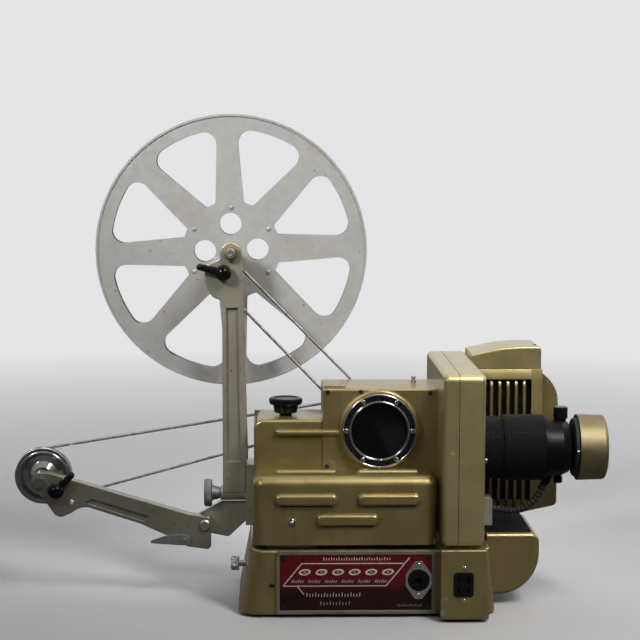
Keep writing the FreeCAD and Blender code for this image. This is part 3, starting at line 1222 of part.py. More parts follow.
def reel_flange(name, level, rim_side):
    """A pressed reel side: thin disc with a turned rim, eight windows and its centre holes."""
    centre = ("spindle_x", "spindle_z")
    sheet_end = f"{level} + flange_sheet"
    rim = f"{level} - 1.2" if rim_side < 0 else f"{level} + flange_sheet + 1.2"
    edge = [(level, "spindle_radius + running_gap"), (level, "reel_radius - rim_width")]
    if rim_side < 0:
        profile = edge + [(rim, "reel_radius - rim_width"), (rim, "reel_radius"),
                          (sheet_end, "reel_radius"), (sheet_end, "spindle_radius + running_gap")]
    else:
        profile = [(level, "spindle_radius + running_gap"), (level, "reel_radius"), (rim, "reel_radius"),
                   (rim, "reel_radius - rim_width"), (sheet_end, "reel_radius - rim_width"),
                   (sheet_end, "spindle_radius + running_gap")]
    body = turned(name, "Y", centre, profile)
    sketch = draw(body, "XZ", [], (*centre, f"-({level})"))
    reach, apex = size("window_rim"), size("window_apex")
    flare, middle = size("window_flare"), 180 / size("window_count") + size("reel_turn")
    edge_angle = flare - math.degrees(math.asin(apex * math.sin(math.radians(flare)) / reach))
    inner = "(window_flat - window_apex) / cos(window_flare)"

    def inner_spot(side):
        """Where a window's side meets its flat inner end, in the sketch's two directions."""
        way = f"{middle} + {side} * window_flare"
        return (f"window_apex * cos({middle}) + {inner} * cos({way})",
                f"window_apex * sin({middle}) + {inner} * sin({way})")

    def rim_spot(side):
        turn = f"{middle} + {side} * {edge_angle:.6f}"
        return f"window_rim * cos({turn})", f"window_rim * sin({turn})"
    corners = [inner_spot(-1), rim_spot(-1), rim_spot(1), inner_spot(1)]
    spots = [Vector(size(u), size(v), 0) for u, v in corners]
    low, high = (math.radians(middle + side * edge_angle) for side in (-1, 1))
    arc = Part.ArcOfCircle(Part.Circle(Vector(), Vector(0, 0, 1), reach), low, high)
    sketch.addGeometry([Part.LineSegment(spots[0], spots[1]), arc, Part.LineSegment(spots[2], spots[3]),
                        Part.LineSegment(spots[3], spots[0])], False)
    for first, at, second, to in ((0, 2, 1, 1), (1, 2, 2, 1), (2, 2, 3, 1), (3, 2, 0, 1), (1, 3, -1, 1)):
        sketch.addConstraint(Sketcher.Constraint("Coincident", first, at, second, to))
    drive(sketch, ("Radius", 1), "window_rim")
    for line, end, (u, v) in ((0, 1, corners[0]), (2, 2, corners[3])):
        drive(sketch, ("DistanceX", -1, 1, line, end), u)
        drive(sketch, ("DistanceY", -1, 1, line, end), v)
    for line, end, (u, v) in ((0, 2, corners[1]), (2, 1, corners[2])):
        wanted = u if abs(size(u)) < abs(size(v)) else v
        kind = "DistanceX" if wanted is u else "DistanceY"
        drive(sketch, (kind, -1, 1, line, end), wanted)
    window = body.newObject("PartDesign::Pocket", f"{name}_window")
    window.Profile = sketch
    window.setExpression("Length", words("flange_sheet"))
    window.Reversed = False
    doc.recompute()
    repeat(body, window, "window_count")
    def crossing_edge(nearest, furthest):
        """Test for edges square to the sheet between two distances from the spindle."""
        def wanted(edge):
            box = edge.BoundBox
            if abs(box.XLength) > 0.01 or abs(box.ZLength) > 0.01 or box.YLength < 0.5:
                return False
            distance = math.hypot(box.XMin - size(centre[0]), box.ZMin - size(centre[1]))
            return nearest < distance < furthest
        return wanted
    round_edges(body, 4, crossing_edge(10, size("window_flat") + 3))
    round_edges(body, 16, crossing_edge(reach - 12, reach + 1))
    holes = []
    for count, reach, radius, first in ((4, 34, 14.2, 1.8), (6, 55.2, 1.7, 30)):
        for number in range(count):
            turn = math.radians(first + 360 * number / count)
            holes.append(circle(f"spindle_x + {reach * math.cos(turn):.3f}",
                                f"spindle_z + {reach * math.sin(turn):.3f}", radius))
    pocket(body, "Y", level, sheet_end, *holes)
    node(name, body)


def make_reel():
    reel_flange("reel_front_flange", "reel_front", -1)
    reel_flange("reel_rear_flange", "reel_back", 1)
    hub = turned("reel_hub", "Y", ("spindle_x", "spindle_z"),
                 [("reel_front + flange_sheet", "core_radius - 1.5"),
                  ("reel_front + flange_sheet", "core_radius"), ("reel_back", "core_radius"),
                  ("reel_back", "core_radius - 1.5")])
    node("reel_hub", hub)


# ---------------------------------------------------------------- belts

def belt(name, level, first, first_radius, second, second_radius):
    """A round belt round two pulleys: two tangent runs and two arcs, swept with a circle."""
    x_one, z_one = size(first[0]), size(first[1])
    x_two, z_two = size(second[0]), size(second[1])
    radius_one, radius_two = size(first_radius), size(second_radius)
    y = size(level)
    span = math.hypot(x_two - x_one, z_two - z_one)
    heading = math.atan2(z_two - z_one, x_two - x_one)
    lean = math.acos((radius_one - radius_two) / span)

    def spot(x, z, radius, angle):
        return Vector(x + radius * math.cos(angle), y, z + radius * math.sin(angle))
    top_one = spot(x_one, z_one, radius_one, heading + lean)
    top_two = spot(x_two, z_two, radius_two, heading + lean)
    low_one = spot(x_one, z_one, radius_one, heading - lean)
    low_two = spot(x_two, z_two, radius_two, heading - lean)
    far_one = spot(x_one, z_one, radius_one, heading + math.pi)
    far_two = spot(x_two, z_two, radius_two, heading)
    route = Part.Wire([Part.LineSegment(top_one, top_two).toShape(),
                       Part.Arc(top_two, far_two, low_two).toShape(),
                       Part.LineSegment(low_two, low_one).toShape(),
                       Part.Arc(low_one, far_one, top_one).toShape()])
    section_radius = size("belt_radius")
    ring = Part.Wire(Part.Circle(top_one, top_two - top_one, section_radius).toShape())
    tube = route.makePipeShell([ring], True, False)
    print(f"{name}: length {route.Length:.1f} mm, volume {tube.Volume:.0f}, "
          f"section x length {math.pi * section_radius ** 2 * route.Length:.0f}")
    item = doc.addObject("Part::Feature", name)
    item.Shape = tube
    node(name, item)


def make_belts():
    drive_centre = ("main_x", "main_z")
    belt("upper_belt", "upper_belt_y", ("upper_pulley_x", "upper_pulley_z"), "upper_pulley + 0.25",
         drive_centre, "drive_large + 0.25")
    belt("lower_belt", "lower_belt_y", ("takeup_x", "takeup_z"), "takeup_pulley + 0.25",
         drive_centre, "drive_small + 0.25")


# ---------------------------------------------------------------- build, check and write

make_base()
make_panel()
make_connector()
make_screws()
make_amplifier()
make_cover()
make_cases()
make_main_plate()
make_fan_casing()
make_gear_train()
make_motor()
make_lamphouse()
make_conduit()
make_gate()
make_upper_arm()
make_bracket()
make_lower_arm()
make_reel()
make_belts()
doc.recompute()

for item in doc.Objects:
    if "Invalid" in item.State or "Error" in item.State:
        raise RuntimeError(f"{item.Label} failed: {item.State}")
os.makedirs("parts", exist_ok=True)
low_corner = [1e9] * 3
high_corner = [-1e9] * 3
for label, item in nodes.items():
    shape = item.Shape
    if shape.isNull() or not shape.isValid() or not shape.Solids:
        raise RuntimeError(f"{label} has no valid solid")
    shape.exportStep(f"parts/{label}.step")
    limits = shape.BoundBox
    low_corner = [min(a, b) for a, b in zip(low_corner, (limits.XMin, limits.YMin, limits.ZMin))]
    high_corner = [max(a, b) for a, b in zip(high_corner, (limits.XMax, limits.YMax, limits.ZMax))]
print(f"{len(nodes)} sub-parts, box from {low_corner} to {high_corner}")
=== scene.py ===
import json
import math

import bmesh
import bpy
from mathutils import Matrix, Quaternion, Vector


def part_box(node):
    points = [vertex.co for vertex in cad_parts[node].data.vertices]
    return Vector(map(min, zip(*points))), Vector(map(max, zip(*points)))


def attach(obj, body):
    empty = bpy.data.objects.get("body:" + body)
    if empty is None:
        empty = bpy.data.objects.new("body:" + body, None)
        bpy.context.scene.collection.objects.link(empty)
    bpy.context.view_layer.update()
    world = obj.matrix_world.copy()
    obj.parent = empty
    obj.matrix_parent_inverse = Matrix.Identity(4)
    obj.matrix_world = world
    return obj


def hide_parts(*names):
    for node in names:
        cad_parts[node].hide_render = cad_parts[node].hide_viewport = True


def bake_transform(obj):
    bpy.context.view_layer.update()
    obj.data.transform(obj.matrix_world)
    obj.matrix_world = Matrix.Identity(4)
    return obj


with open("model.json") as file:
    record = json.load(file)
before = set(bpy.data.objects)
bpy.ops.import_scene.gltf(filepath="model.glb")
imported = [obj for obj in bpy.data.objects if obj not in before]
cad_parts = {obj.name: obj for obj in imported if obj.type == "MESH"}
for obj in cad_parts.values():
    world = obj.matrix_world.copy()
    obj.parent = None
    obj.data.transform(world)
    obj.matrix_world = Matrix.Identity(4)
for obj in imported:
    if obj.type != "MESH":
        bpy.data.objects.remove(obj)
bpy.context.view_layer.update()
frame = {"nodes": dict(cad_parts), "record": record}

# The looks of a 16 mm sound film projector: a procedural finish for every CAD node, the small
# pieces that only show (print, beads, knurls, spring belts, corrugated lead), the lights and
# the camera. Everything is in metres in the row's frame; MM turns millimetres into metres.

MM = 0.001
scene = bpy.context.scene

# Each axis of turning: along it, and the two directions that span its plane.
AXES = {
    "X": (Vector((1, 0, 0)), Vector((0, 1, 0)), Vector((0, 0, 1))),
    "Y": (Vector((0, 1, 0)), Vector((0, 0, 1)), Vector((1, 0, 0))),
    "Z": (Vector((0, 0, 1)), Vector((1, 0, 0)), Vector((0, 1, 0))),
}


def middle(node):
    """Centre of a CAD node's box."""
    low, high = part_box(node)
    return (low + high) / 2


# ---------------------------------------------------------------- material graphs

class Graph:
    """The node tree of one material. Its methods add nodes and return an output socket."""

    def __init__(self, name, **constants):
        self.material = bpy.data.materials.new(name)
        self.material.use_nodes = True
        self.tree = self.material.node_tree
        self.tree.nodes.clear()
        self.shader = self.add("BsdfPrincipled")
        self.output = self.add("OutputMaterial")
        self.tree.links.new(self.shader.outputs[0], self.output.inputs["Surface"])
        self.place = self.add("TexCoord").outputs["Object"]
        for word, value in constants.items():
            self.give(word.replace("_", " ").title().replace("Ior", "IOR"), value)

    def add(self, kind, **settings):
        node = self.tree.nodes.new(f"ShaderNode{kind}")
        for word, value in settings.items():
            setattr(node, word, value)
        return node

    def feed(self, socket, value):
        """Give an input a constant or another node's output."""
        if isinstance(value, bpy.types.NodeSocket):
            self.tree.links.new(value, socket)
        elif isinstance(value, tuple) and len(value) == 3 and socket.type == "RGBA":
            socket.default_value = (*value, 1)
        else:
            socket.default_value = value

    def give(self, word, value):
        self.feed(self.shader.inputs[word], value)

    def stretched(self, stretch, seed):
        mapping = self.add("Mapping")
        self.feed(mapping.inputs["Vector"], self.place)
        mapping.inputs["Scale"].default_value = stretch
        mapping.inputs["Location"].default_value = (seed * 0.37, seed * 0.61, seed * 0.83)
        return mapping.outputs[0]

    def noise(self, grain, seed=0, stretch=(1, 1, 1), detail=4, rough=0.55):
        """Smooth noise from 0 to 1 with features of about grain millimetres."""
        node = self.add("TexNoise")
        self.feed(node.inputs["Vector"], self.stretched(stretch, seed))
        node.inputs["Scale"].default_value = 1 / (grain * MM)
        node.inputs["Detail"].default_value = detail
        node.inputs["Roughness"].default_value = rough
        return node.outputs[0]

    def cells(self, grain, seed=0):
        """Distance to the nearest of scattered points, about grain millimetres apart."""
        node = self.add("TexVoronoi")
        self.feed(node.inputs["Vector"], self.stretched((1, 1, 1), seed))
        node.inputs["Scale"].default_value = 1 / (grain * MM)
        return node.outputs["Distance"]

    def ramp(self, value, low, high, start=0.0, end=1.0):
        """Value from low to high becomes start to end, and stays there beyond."""
        node = self.add("MapRange")
        for socket, number in zip(node.inputs, (value, low, high, start, end)):
            self.feed(socket, number)
        return node.outputs[0]

    def mix(self, share, first, second):
        node = self.add("Mix", data_type="RGBA")
        for index, value in ((0, share), (6, first), (7, second)):
            self.feed(node.inputs[index], value)
        return node.outputs[2]

    def calc(self, operation, *values):
        node = self.add("Math", operation=operation)
        for socket, value in zip(node.inputs, values):
            self.feed(socket, value)
        return node.outputs[0]

    def near(self, spot, radius, ragged):
        """Ragged flakes that gather within radius millimetres of a spot."""
        distance = self.add("VectorMath", operation="DISTANCE")
        self.feed(distance.inputs[0], self.place)
        distance.inputs[1].default_value = spot
        lift = self.ramp(distance.outputs["Value"], 0, 2.4 * radius * MM, 0.36, 0)
        return self.ramp(self.calc("ADD", ragged, lift), 0.75, 0.79)

    def from_axis(self, axis, centre):
        """Distance of the surface from an axis through centre, in metres."""
        flat = self.add("VectorMath", operation="MULTIPLY")
        offset = self.add("VectorMath", operation="SUBTRACT")
        self.feed(offset.inputs[0], self.place)
        offset.inputs[1].default_value = centre
        self.feed(flat.inputs[0], offset.outputs[0])
        flat.inputs[1].default_value = Vector((1, 1, 1)) - AXES[axis][0]
        length = self.add("VectorMath", operation="LENGTH")
        self.feed(length.inputs[0], flat.outputs[0])
        return length.outputs["Value"]

    def coordinate(self, letter):
        split = self.add("SeparateXYZ")
        self.feed(split.inputs[0], self.place)
        return split.outputs[letter]

    def edges(self, radius):
        """The normal with edges rounded by radius millimetres, and a mask of those edges."""
        bevel = self.add("Bevel", samples=4)
        bevel.inputs["Radius"].default_value = radius * MM
        dot = self.add("VectorMath", operation="DOT_PRODUCT")
        self.feed(dot.inputs[0], bevel.outputs[0])
        self.feed(dot.inputs[1], self.add("NewGeometry").outputs["Normal"])
        return bevel.outputs[0], self.ramp(dot.outputs["Value"], 0.985, 0.88)

    def bump(self, height, depth, normal=None):
        """Bump whose height runs over depth millimetres."""
        node = self.add("Bump")
        node.inputs["Distance"].default_value = depth * MM
        self.feed(node.inputs["Height"], height)
        if normal is not None:
            self.feed(node.inputs["Normal"], normal)
        self.give("Normal", node.outputs[0])
        return node.outputs[0]


# ---------------------------------------------------------------- finishes

def enamel(name, light, dark, gloss, metal, bare, chips=(), stain=None):
    """Metallic enamel: clouded colour, fine flake, orange peel, chips on edges and at spots."""
    g = Graph(name, metallic=metal, coat_weight=0.5, coat_roughness=0.1)
    clouds = g.noise(70, seed=1, detail=5)
    flake = g.noise(0.55, seed=2, detail=2)
    streaks = g.noise(9, seed=3, stretch=(1, 1, 0.16), detail=5)
    tone = g.mix(g.ramp(clouds, 0.32, 0.68), dark, light)
    tone = g.mix(g.ramp(flake, 0.4, 0.75, 0, 0.35), tone, tuple(1.35 * part for part in light))
    tone = g.mix(g.ramp(streaks, 0.56, 0.8, 0, 0.3), tone, tuple(0.5 * part for part in dark))
    if stain:
        spread = g.calc("MULTIPLY", g.ramp(g.noise(26, seed=4, detail=6), 0.58, 0.72),
                        g.ramp(g.noise(3, seed=5), 0.35, 0.65))
        tone = g.mix(g.calc("MULTIPLY", spread, 0.6), tone, stain)
        specks = g.ramp(g.cells(17, seed=6), 0.075, 0.05)
        tone = g.mix(g.calc("MULTIPLY", specks, 0.8), tone, (0.07, 0.045, 0.025))
    normal, edge = g.edges(0.8)
    ragged = g.noise(2.2, seed=7, detail=6, rough=0.7)
    worn = g.calc("MULTIPLY", edge, g.ramp(ragged, 0.56, 0.64))
    for spot, radius in chips:
        worn = g.calc("MAXIMUM", worn, g.near(spot, radius, ragged))
    g.give("Base Color", g.mix(worn, tone, bare))
    smears = g.noise(34, seed=8, detail=6, rough=0.65)
    g.give("Roughness", g.ramp(smears, 0.3, 0.75, gloss, gloss + 0.14))
    peel = g.noise(1.5, seed=9, detail=2)
    lift = g.calc("MULTIPLY_ADD", worn, -0.7, g.calc("MULTIPLY", peel, 0.3))
    g.bump(lift, 0.12, normal)
    return g.material


def pressed_sheet(name):
    """Dull aluminium sheet of the reel: mottled, ring-scratched, with small rust specks."""
    g = Graph(name, metallic=0.35)
    mottle = g.noise(9, seed=1, detail=8, rough=0.75)
    fine = g.noise(1.1, seed=2, detail=4)
    tone = g.mix(g.ramp(mottle, 0.33, 0.68), (0.38, 0.38, 0.368), (0.46, 0.46, 0.445))
    tone = g.mix(g.ramp(fine, 0.5, 0.8, 0, 0.3), tone, (0.36, 0.35, 0.33))
    patch = g.calc("MULTIPLY", g.ramp(g.noise(60, seed=3), 0.52, 0.64), g.ramp(fine, 0.45, 0.6))
    tone = g.mix(g.calc("MULTIPLY", patch, 0.3), tone, (0.32, 0.22, 0.12))
    pits = g.calc("MULTIPLY", g.ramp(g.cells(17, seed=4), 0.1, 0.06), g.ramp(mottle, 0.42, 0.5))
    tone = g.mix(g.calc("MULTIPLY", pits, 0.8), tone, (0.15, 0.075, 0.035))
    g.give("Base Color", tone)
    centre = middle("reel_front_flange")
    rings = g.add("TexNoise", noise_dimensions="1D")
    g.feed(rings.inputs["W"], g.calc("MULTIPLY", g.from_axis("Y", centre), 1 / MM))
    rings.inputs["Scale"].default_value = 2.2
    rings.inputs["Detail"].default_value = 6
    rough = g.calc("MULTIPLY_ADD", rings.outputs[0], 0.16, g.ramp(mottle, 0.3, 0.7, 0.36, 0.5))
    g.give("Roughness", rough)
    normal, _ = g.edges(0.35)
    height = g.calc("MULTIPLY_ADD", pits, -0.8, g.calc("MULTIPLY", rings.outputs[0], 0.25))
    g.bump(height, 0.06, normal)
    return g.material


def plated(name, enamel_band=None):
    """Chrome plate with a haze of fine pits; a band of black enamel may lie round its axis."""
    g = Graph(name, specular_ior_level=0.25)
    haze = g.noise(9, seed=1, detail=7, rough=0.7)
    pits = g.ramp(g.cells(2.6, seed=2), 0.12, 0.06)
    tone = g.mix(g.ramp(haze, 0.35, 0.7), (0.78, 0.78, 0.77), (0.6, 0.59, 0.57))
    tone = g.mix(g.calc("MULTIPLY", pits, 0.55), tone, (0.16, 0.14, 0.12))
    rough = g.ramp(haze, 0.35, 0.75, 0.06, 0.24)
    metal = g.ramp(pits, 0, 1, 1, 0.6)
    normal, _ = g.edges(0.4)
    if enamel_band:
        centre, inner, outer = enamel_band
        reach = g.from_axis("Y", centre)
        band = g.calc("MULTIPLY", g.ramp(reach, inner * MM, (inner + 0.2) * MM),
                      g.ramp(reach, (outer + 0.2) * MM, outer * MM))
        specks = g.ramp(g.cells(2.1, seed=3), 0.12, 0.06)
        black = g.mix(g.calc("MULTIPLY", specks, 0.35), (0.006, 0.006, 0.009), (0.16, 0.15, 0.14))
        tone = g.mix(band, tone, black)
        metal = g.calc("MULTIPLY", metal, g.ramp(band, 0, 1, 1, 0))
        rough = g.calc("MULTIPLY_ADD", band, 0.15, rough)
    g.give("Base Color", tone)
    g.give("Metallic", metal)
    g.give("Roughness", rough)
    g.bump(pits, -0.04, normal)
    return g.material


def machined(name, light, dark, gloss, brushed=(1, 1, 1), tarnish=(0.12, 0.09, 0.06)):
    """Bare machined metal with tool marks and tarnish."""
    g = Graph(name, metallic=1.0)
    marks = g.noise(0.8, seed=1, stretch=brushed, detail=5, rough=0.7)
    cloud = g.noise(16, seed=2, detail=6)
    tone = g.mix(g.ramp(cloud, 0.3, 0.7), dark, light)
    tone = g.mix(g.ramp(marks, 0.55, 0.85, 0, 0.45), tone, tuple(0.55 * part for part in dark))
    spots = g.calc("MULTIPLY", g.ramp(g.cells(6, seed=3), 0.12, 0.07), g.ramp(cloud, 0.5, 0.56))
    tone = g.mix(g.calc("MULTIPLY", spots, 0.6), tone, tarnish)
    g.give("Base Color", tone)
    g.give("Roughness", g.calc("MULTIPLY_ADD", marks, 0.2, g.ramp(cloud, 0.3, 0.7, gloss, gloss + 0.1)))
    normal, _ = g.edges(0.35)
    g.bump(marks, 0.03, normal)
    return g.material


def moulded(name, colour, gloss, dust, grain=0.0):
    """Black moulding or glossy enamel with a veil of dust and fine hairline scratches."""
    g = Graph(name, coat_weight=0.02, coat_roughness=0.08, specular_ior_level=0.13)
    veil = g.calc("MULTIPLY", g.ramp(g.noise(18, seed=1, detail=8, rough=0.7), 0.42, 0.75),
                  g.ramp(g.noise(0.9, seed=2, detail=4), 0.35, 0.7))
    lint = g.ramp(g.cells(4.2, seed=3), 0.07, 0.03)
    hair = g.ramp(g.noise(2.4, seed=4, stretch=(1, 0.08, 0.3), detail=3), 0.72, 0.78)
    pale = g.calc("MAXIMUM", g.calc("MULTIPLY", veil, dust), g.calc("MULTIPLY", lint, dust * 1.6))
    pale = g.calc("MAXIMUM", pale, g.calc("MULTIPLY", hair, dust))
    g.give("Base Color", g.mix(pale, colour, (0.15, 0.135, 0.12)))
    g.give("Roughness", g.calc("MULTIPLY_ADD", veil, 0.2, g.ramp(lint, 0, 1, gloss, 0.6)))
    normal, _ = g.edges(0.5)
    g.bump(g.noise(1.6, seed=5, detail=3), 0.05 + grain, normal)
    return g.material


def wrinkled(name):
    """Black wrinkle enamel of the motor's drum."""
    g = Graph(name, specular_ior_level=0.12)
    worms = g.noise(1.9, seed=1, detail=3, rough=0.6)
    folds = g.calc("ABSOLUTE", g.calc("SUBTRACT", worms, 0.5))
    height = g.ramp(folds, 0.0, 0.11)
    dust = g.ramp(g.noise(22, seed=2, detail=7), 0.5, 0.8, 0.0, 0.14)
    g.give("Base Color", g.mix(g.calc("MULTIPLY", dust, height), (0.004, 0.004, 0.005), (0.07, 0.065, 0.06)))
    g.give("Roughness", g.ramp(height, 0, 1, 0.6, 0.45))
    normal, _ = g.edges(0.6)
    g.bump(height, 0.4, normal)
    return g.material


def printed_red(name):
    """The amplifier panel: red, scratched and dusty, that darkens towards its foot; the dark foot is painted
    shade, the dark reflection that its glossy lower part shows.
    """
    g = Graph(name, coat_weight=0.08, coat_roughness=0.15, specular_ior_level=0.3)
    low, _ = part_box("amplifier_panel")
    height = g.coordinate("Z")
    wave = g.calc("MULTIPLY_ADD", g.noise(60, seed=1), 0.012, height)
    # Painted shade: below this ramp the red turns dark maroon, for the dark reflection on the panel's lower
    # part.
    painted_shade_ramp = g.ramp(wave, low.z + 0.028, low.z + 0.046)
    tone = g.mix(painted_shade_ramp, (0.010, 0.003, 0.004), (0.095, 0.004, 0.008))
    tone = g.mix(g.ramp(g.noise(5, seed=2, detail=8), 0.4, 0.8, 0, 0.45), tone, (0.035, 0.003, 0.005))
    scratch = g.ramp(g.noise(7, seed=3, stretch=(0.25, 1, 1.4), detail=2), 0.745, 0.76)
    nick = g.ramp(g.cells(19, seed=4), 0.045, 0.025)
    marks = g.calc("MAXIMUM", scratch, nick)
    g.give("Base Color", g.mix(g.calc("MULTIPLY", marks, 0.7), tone, (0.36, 0.30, 0.28)))
    g.give("Metallic", g.calc("MULTIPLY", marks, 0.6))
    g.give("Roughness", g.ramp(g.noise(14, seed=5, detail=6), 0.3, 0.7, 0.26, 0.42))
    normal, _ = g.edges(0.3)
    g.bump(marks, -0.05, normal)
    return g.material


def white_print(name):
    """Printed lines, rubbed thin in places, and darkened towards the panel's foot by painted shade."""
    g = Graph(name, specular_ior_level=0.4)
    rubbed = g.ramp(g.noise(3.2, seed=1, detail=7, rough=0.7), 0.46, 0.66)
    low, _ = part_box("amplifier_panel")
    # Painted shade: the print darkens towards the panel's foot, like the red under it.
    shade = g.ramp(g.coordinate("Z"), low.z, low.z + 0.045, 0.55, 0.0)
    share = g.calc("MAXIMUM", g.calc("MULTIPLY", rubbed, 0.6), shade)
    g.give("Base Color", g.mix(share, (0.56, 0.50, 0.47), (0.14, 0.06, 0.055)))
    g.give("Roughness", g.ramp(rubbed, 0, 1, 0.45, 0.6))
    g.bump(g.noise(0.8, seed=2), 0.02)
    return g.material


def glass(name, tint, dusty):
    """Glass with a film of dust."""
    g = Graph(name, ior=1.5, transmission_weight=1.0)
    film = g.noise(11, seed=1, detail=8, rough=0.7)
    g.give("Base Color", g.mix(g.ramp(film, 0.3, 0.7, 0, 0.5), tint, tuple(0.8 * part for part in tint)))
    g.give("Roughness", g.ramp(film, 0.35, 0.8, 0.01, dusty))
    g.bump(g.noise(30, seed=2, detail=2), 0.03)
    return g.material


def porthole_pane(name):
    """The inspection pane: dark and glossy, with a faint lighter patch across its lower right."""
    g = Graph(name, coat_weight=0.1, coat_roughness=0.03, transmission_weight=0.2, ior=1.4)
    centre = middle("porthole_glass")
    # A faint lighter patch, set by position over the pane's lower right.
    slope = g.calc("ADD", g.coordinate("X"), g.calc("MULTIPLY", g.coordinate("Z"), 0.55))
    start = centre.x + 0.55 * centre.z
    veil = g.calc("MULTIPLY", g.ramp(slope, start - 0.006, start + 0.001),
                  g.ramp(g.coordinate("Z"), centre.z + 0.016, centre.z - 0.002))
    veil = g.calc("MULTIPLY", veil, g.ramp(g.noise(20, seed=1, detail=6), 0.2, 0.7, 0.5, 1.0))
    g.give("Base Color", g.mix(veil, (0.003, 0.003, 0.003), (0.009, 0.0095, 0.0095)))
    g.give("Roughness", g.ramp(g.noise(6, seed=2, detail=8), 0.4, 0.8, 0.03, 0.14))
    g.bump(g.noise(40, seed=3, detail=2), 0.02)
    return g.material


def rubbery(name, colour, dusty=0.35):
    """Matt rubber with dust in its grain."""
    g = Graph(name)
    grain = g.noise(0.9, seed=1, detail=6)
    dust = g.ramp(g.noise(8, seed=2, detail=7), 0.45, 0.75, 0, dusty)
    g.give("Base Color", g.mix(dust, colour, (0.12, 0.11, 0.10)))
    g.give("Roughness", g.ramp(grain, 0.3, 0.7, 0.55, 0.8))
    g.bump(grain, 0.08)
    return g.material


def spring_wire(name):
    """Oiled spring wire, brown in its gaps."""
    g = Graph(name, metallic=0.9)
    oil = g.noise(5, seed=1, detail=6)
    g.give("Base Color", g.mix(g.ramp(oil, 0.35, 0.65), (0.46, 0.43, 0.40), (0.24, 0.21, 0.185)))
    g.give("Roughness", g.ramp(oil, 0.3, 0.7, 0.3, 0.5))
    g.bump(g.noise(0.5, seed=2), 0.03)
    return g.material


def laminated(name):
    """The transformer's varnished iron sheets."""
    g = Graph(name, metallic=0.4, coat_weight=0.3)
    sheets = g.noise(0.7, seed=1, stretch=(0.02, 0.02, 1), detail=2)
    g.give("Base Color", g.mix(g.ramp(sheets, 0.4, 0.6), (0.05, 0.045, 0.04), (0.13, 0.12, 0.11)))
    g.give("Roughness", g.ramp(g.noise(9, seed=2), 0.3, 0.7, 0.35, 0.6))
    g.bump(sheets, 0.1)
    return g.material


# Colours of the two gold paints, and where the paint is chipped: (spot in metres, radius in mm).
GOLD = (0.37, 0.295, 0.125)
GOLD_SHADE = (0.28, 0.215, 0.085)
GOLD_CHIPS = (
    ((0.1745, -0.1192, 0.2095), 2.4),
    ((0.1617, -0.1212, 0.012), 6.0),
    ((0.1680, -0.1212, 0.030), 2.6),
    ((0.2206, -0.1212, 0.022), 2.2),
    ((0.2206, -0.1212, 0.088), 2.4),
    ((0.2170, 0.0388, 0.2945), 1.6),
    ((0.0300, -0.0412, 0.277), 4.0),
    ((-0.0650, -0.0880, 0.160), 2.6),
)

finishes = {
    "gold_paint": enamel("gold_paint", GOLD, GOLD_SHADE, 0.32, 0.8, (0.45, 0.44, 0.42), GOLD_CHIPS),
    "arm_paint": enamel("arm_paint", (0.42, 0.395, 0.315), (0.34, 0.315, 0.25), 0.34, 0.62,
                        (0.5, 0.47, 0.42), stain=(0.20, 0.145, 0.075)),
    "reel_metal": pressed_sheet("reel_metal"),
    "chrome_plate": plated("chrome_plate"),
    "steel": machined("steel", (0.56, 0.56, 0.55), (0.42, 0.41, 0.40), 0.26),
    "brass": machined("brass", (0.66, 0.48, 0.20), (0.5, 0.35, 0.13), 0.24, tarnish=(0.2, 0.12, 0.05)),
    "black_bakelite": moulded("black_bakelite", (0.005, 0.005, 0.006), 0.16, 0.08),
    "black_wrinkle": wrinkled("black_wrinkle"),
    "black_gloss": moulded("black_gloss", (0.003, 0.003, 0.0035), 0.38, 0.03),
    "red_panel": printed_red("red_panel"),
    "steel_panel_edge": enamel("steel_panel_edge", (0.40, 0.35, 0.26), (0.26, 0.22, 0.15), 0.34, 0.8,
                               (0.5, 0.48, 0.44), stain=(0.08, 0.06, 0.04)),
    "black_steel": machined("black_steel", (0.07, 0.07, 0.07), (0.04, 0.04, 0.04), 0.3),
    "dark_glass": porthole_pane("dark_glass"),
    "clear_glass": glass("clear_glass", (0.92, 0.93, 0.93), 0.12),
    "black_rubber": rubbery("black_rubber", (0.018, 0.018, 0.018)),
    "belt_wire": spring_wire("belt_wire"),
    "black_conduit": rubbery("black_conduit", (0.008, 0.008, 0.008), 0.12),
    "transformer_core": laminated("transformer_core"),
}

# The fan casing and the hood wear a paler copy of the gold paint than the rest: painted light, for the
# brighter light that falls on their fronts from the right front.
PAINTED_LIGHT_GOLD = enamel("gold_paint_painted_light", (0.54, 0.46, 0.225), (0.42, 0.355, 0.165), 0.33, 0.8,
                   (0.5, 0.49, 0.47), GOLD_CHIPS)

ring_centre = middle("porthole_ring")
ENAMEL_INNER, ENAMEL_OUTER = 37.4, 44.2
own_finishes = {
    "porthole_ring": plated("enamelled_ring", (ring_centre, ENAMEL_INNER, ENAMEL_OUTER)),
    "inching_knob": machined("gold_lacquer", (0.31, 0.26, 0.15), (0.23, 0.19, 0.10), 0.4,
                             brushed=(0.1, 1, 1), tarnish=(0.2, 0.14, 0.06)),
    "arm_thumbscrew": machined("dull_zinc", (0.27, 0.28, 0.285), (0.19, 0.2, 0.205), 0.46),
    "takeup_pulley": plated("worn_plate"),
    # The paler gold on the fan casing and the hood is painted light.
    "fan_casing_left": PAINTED_LIGHT_GOLD, "fan_casing_right": PAINTED_LIGHT_GOLD, "lamphouse_hood": PAINTED_LIGHT_GOLD,
    # The lower arm wears a darker copy of the arm paint: painted shade, for the light that falls off towards
    # the bottom of the machine.
    "lower_arm": enamel("arm_paint_painted_shade", (0.25, 0.235, 0.185), (0.19, 0.175, 0.135), 0.36, 0.62,
                        (0.4, 0.38, 0.34), stain=(0.14, 0.1, 0.055)),
}

for subpart in frame["record"]["subparts"]:
    node = frame["nodes"][subpart["node"]]
    finish = own_finishes.get(subpart["node"], finishes[subpart["material_slot"]])
    if not node.material_slots:
        node.data.materials.append(finish)
    for place in node.material_slots:
        place.material = finish


# ---------------------------------------------------------------- mesh helpers

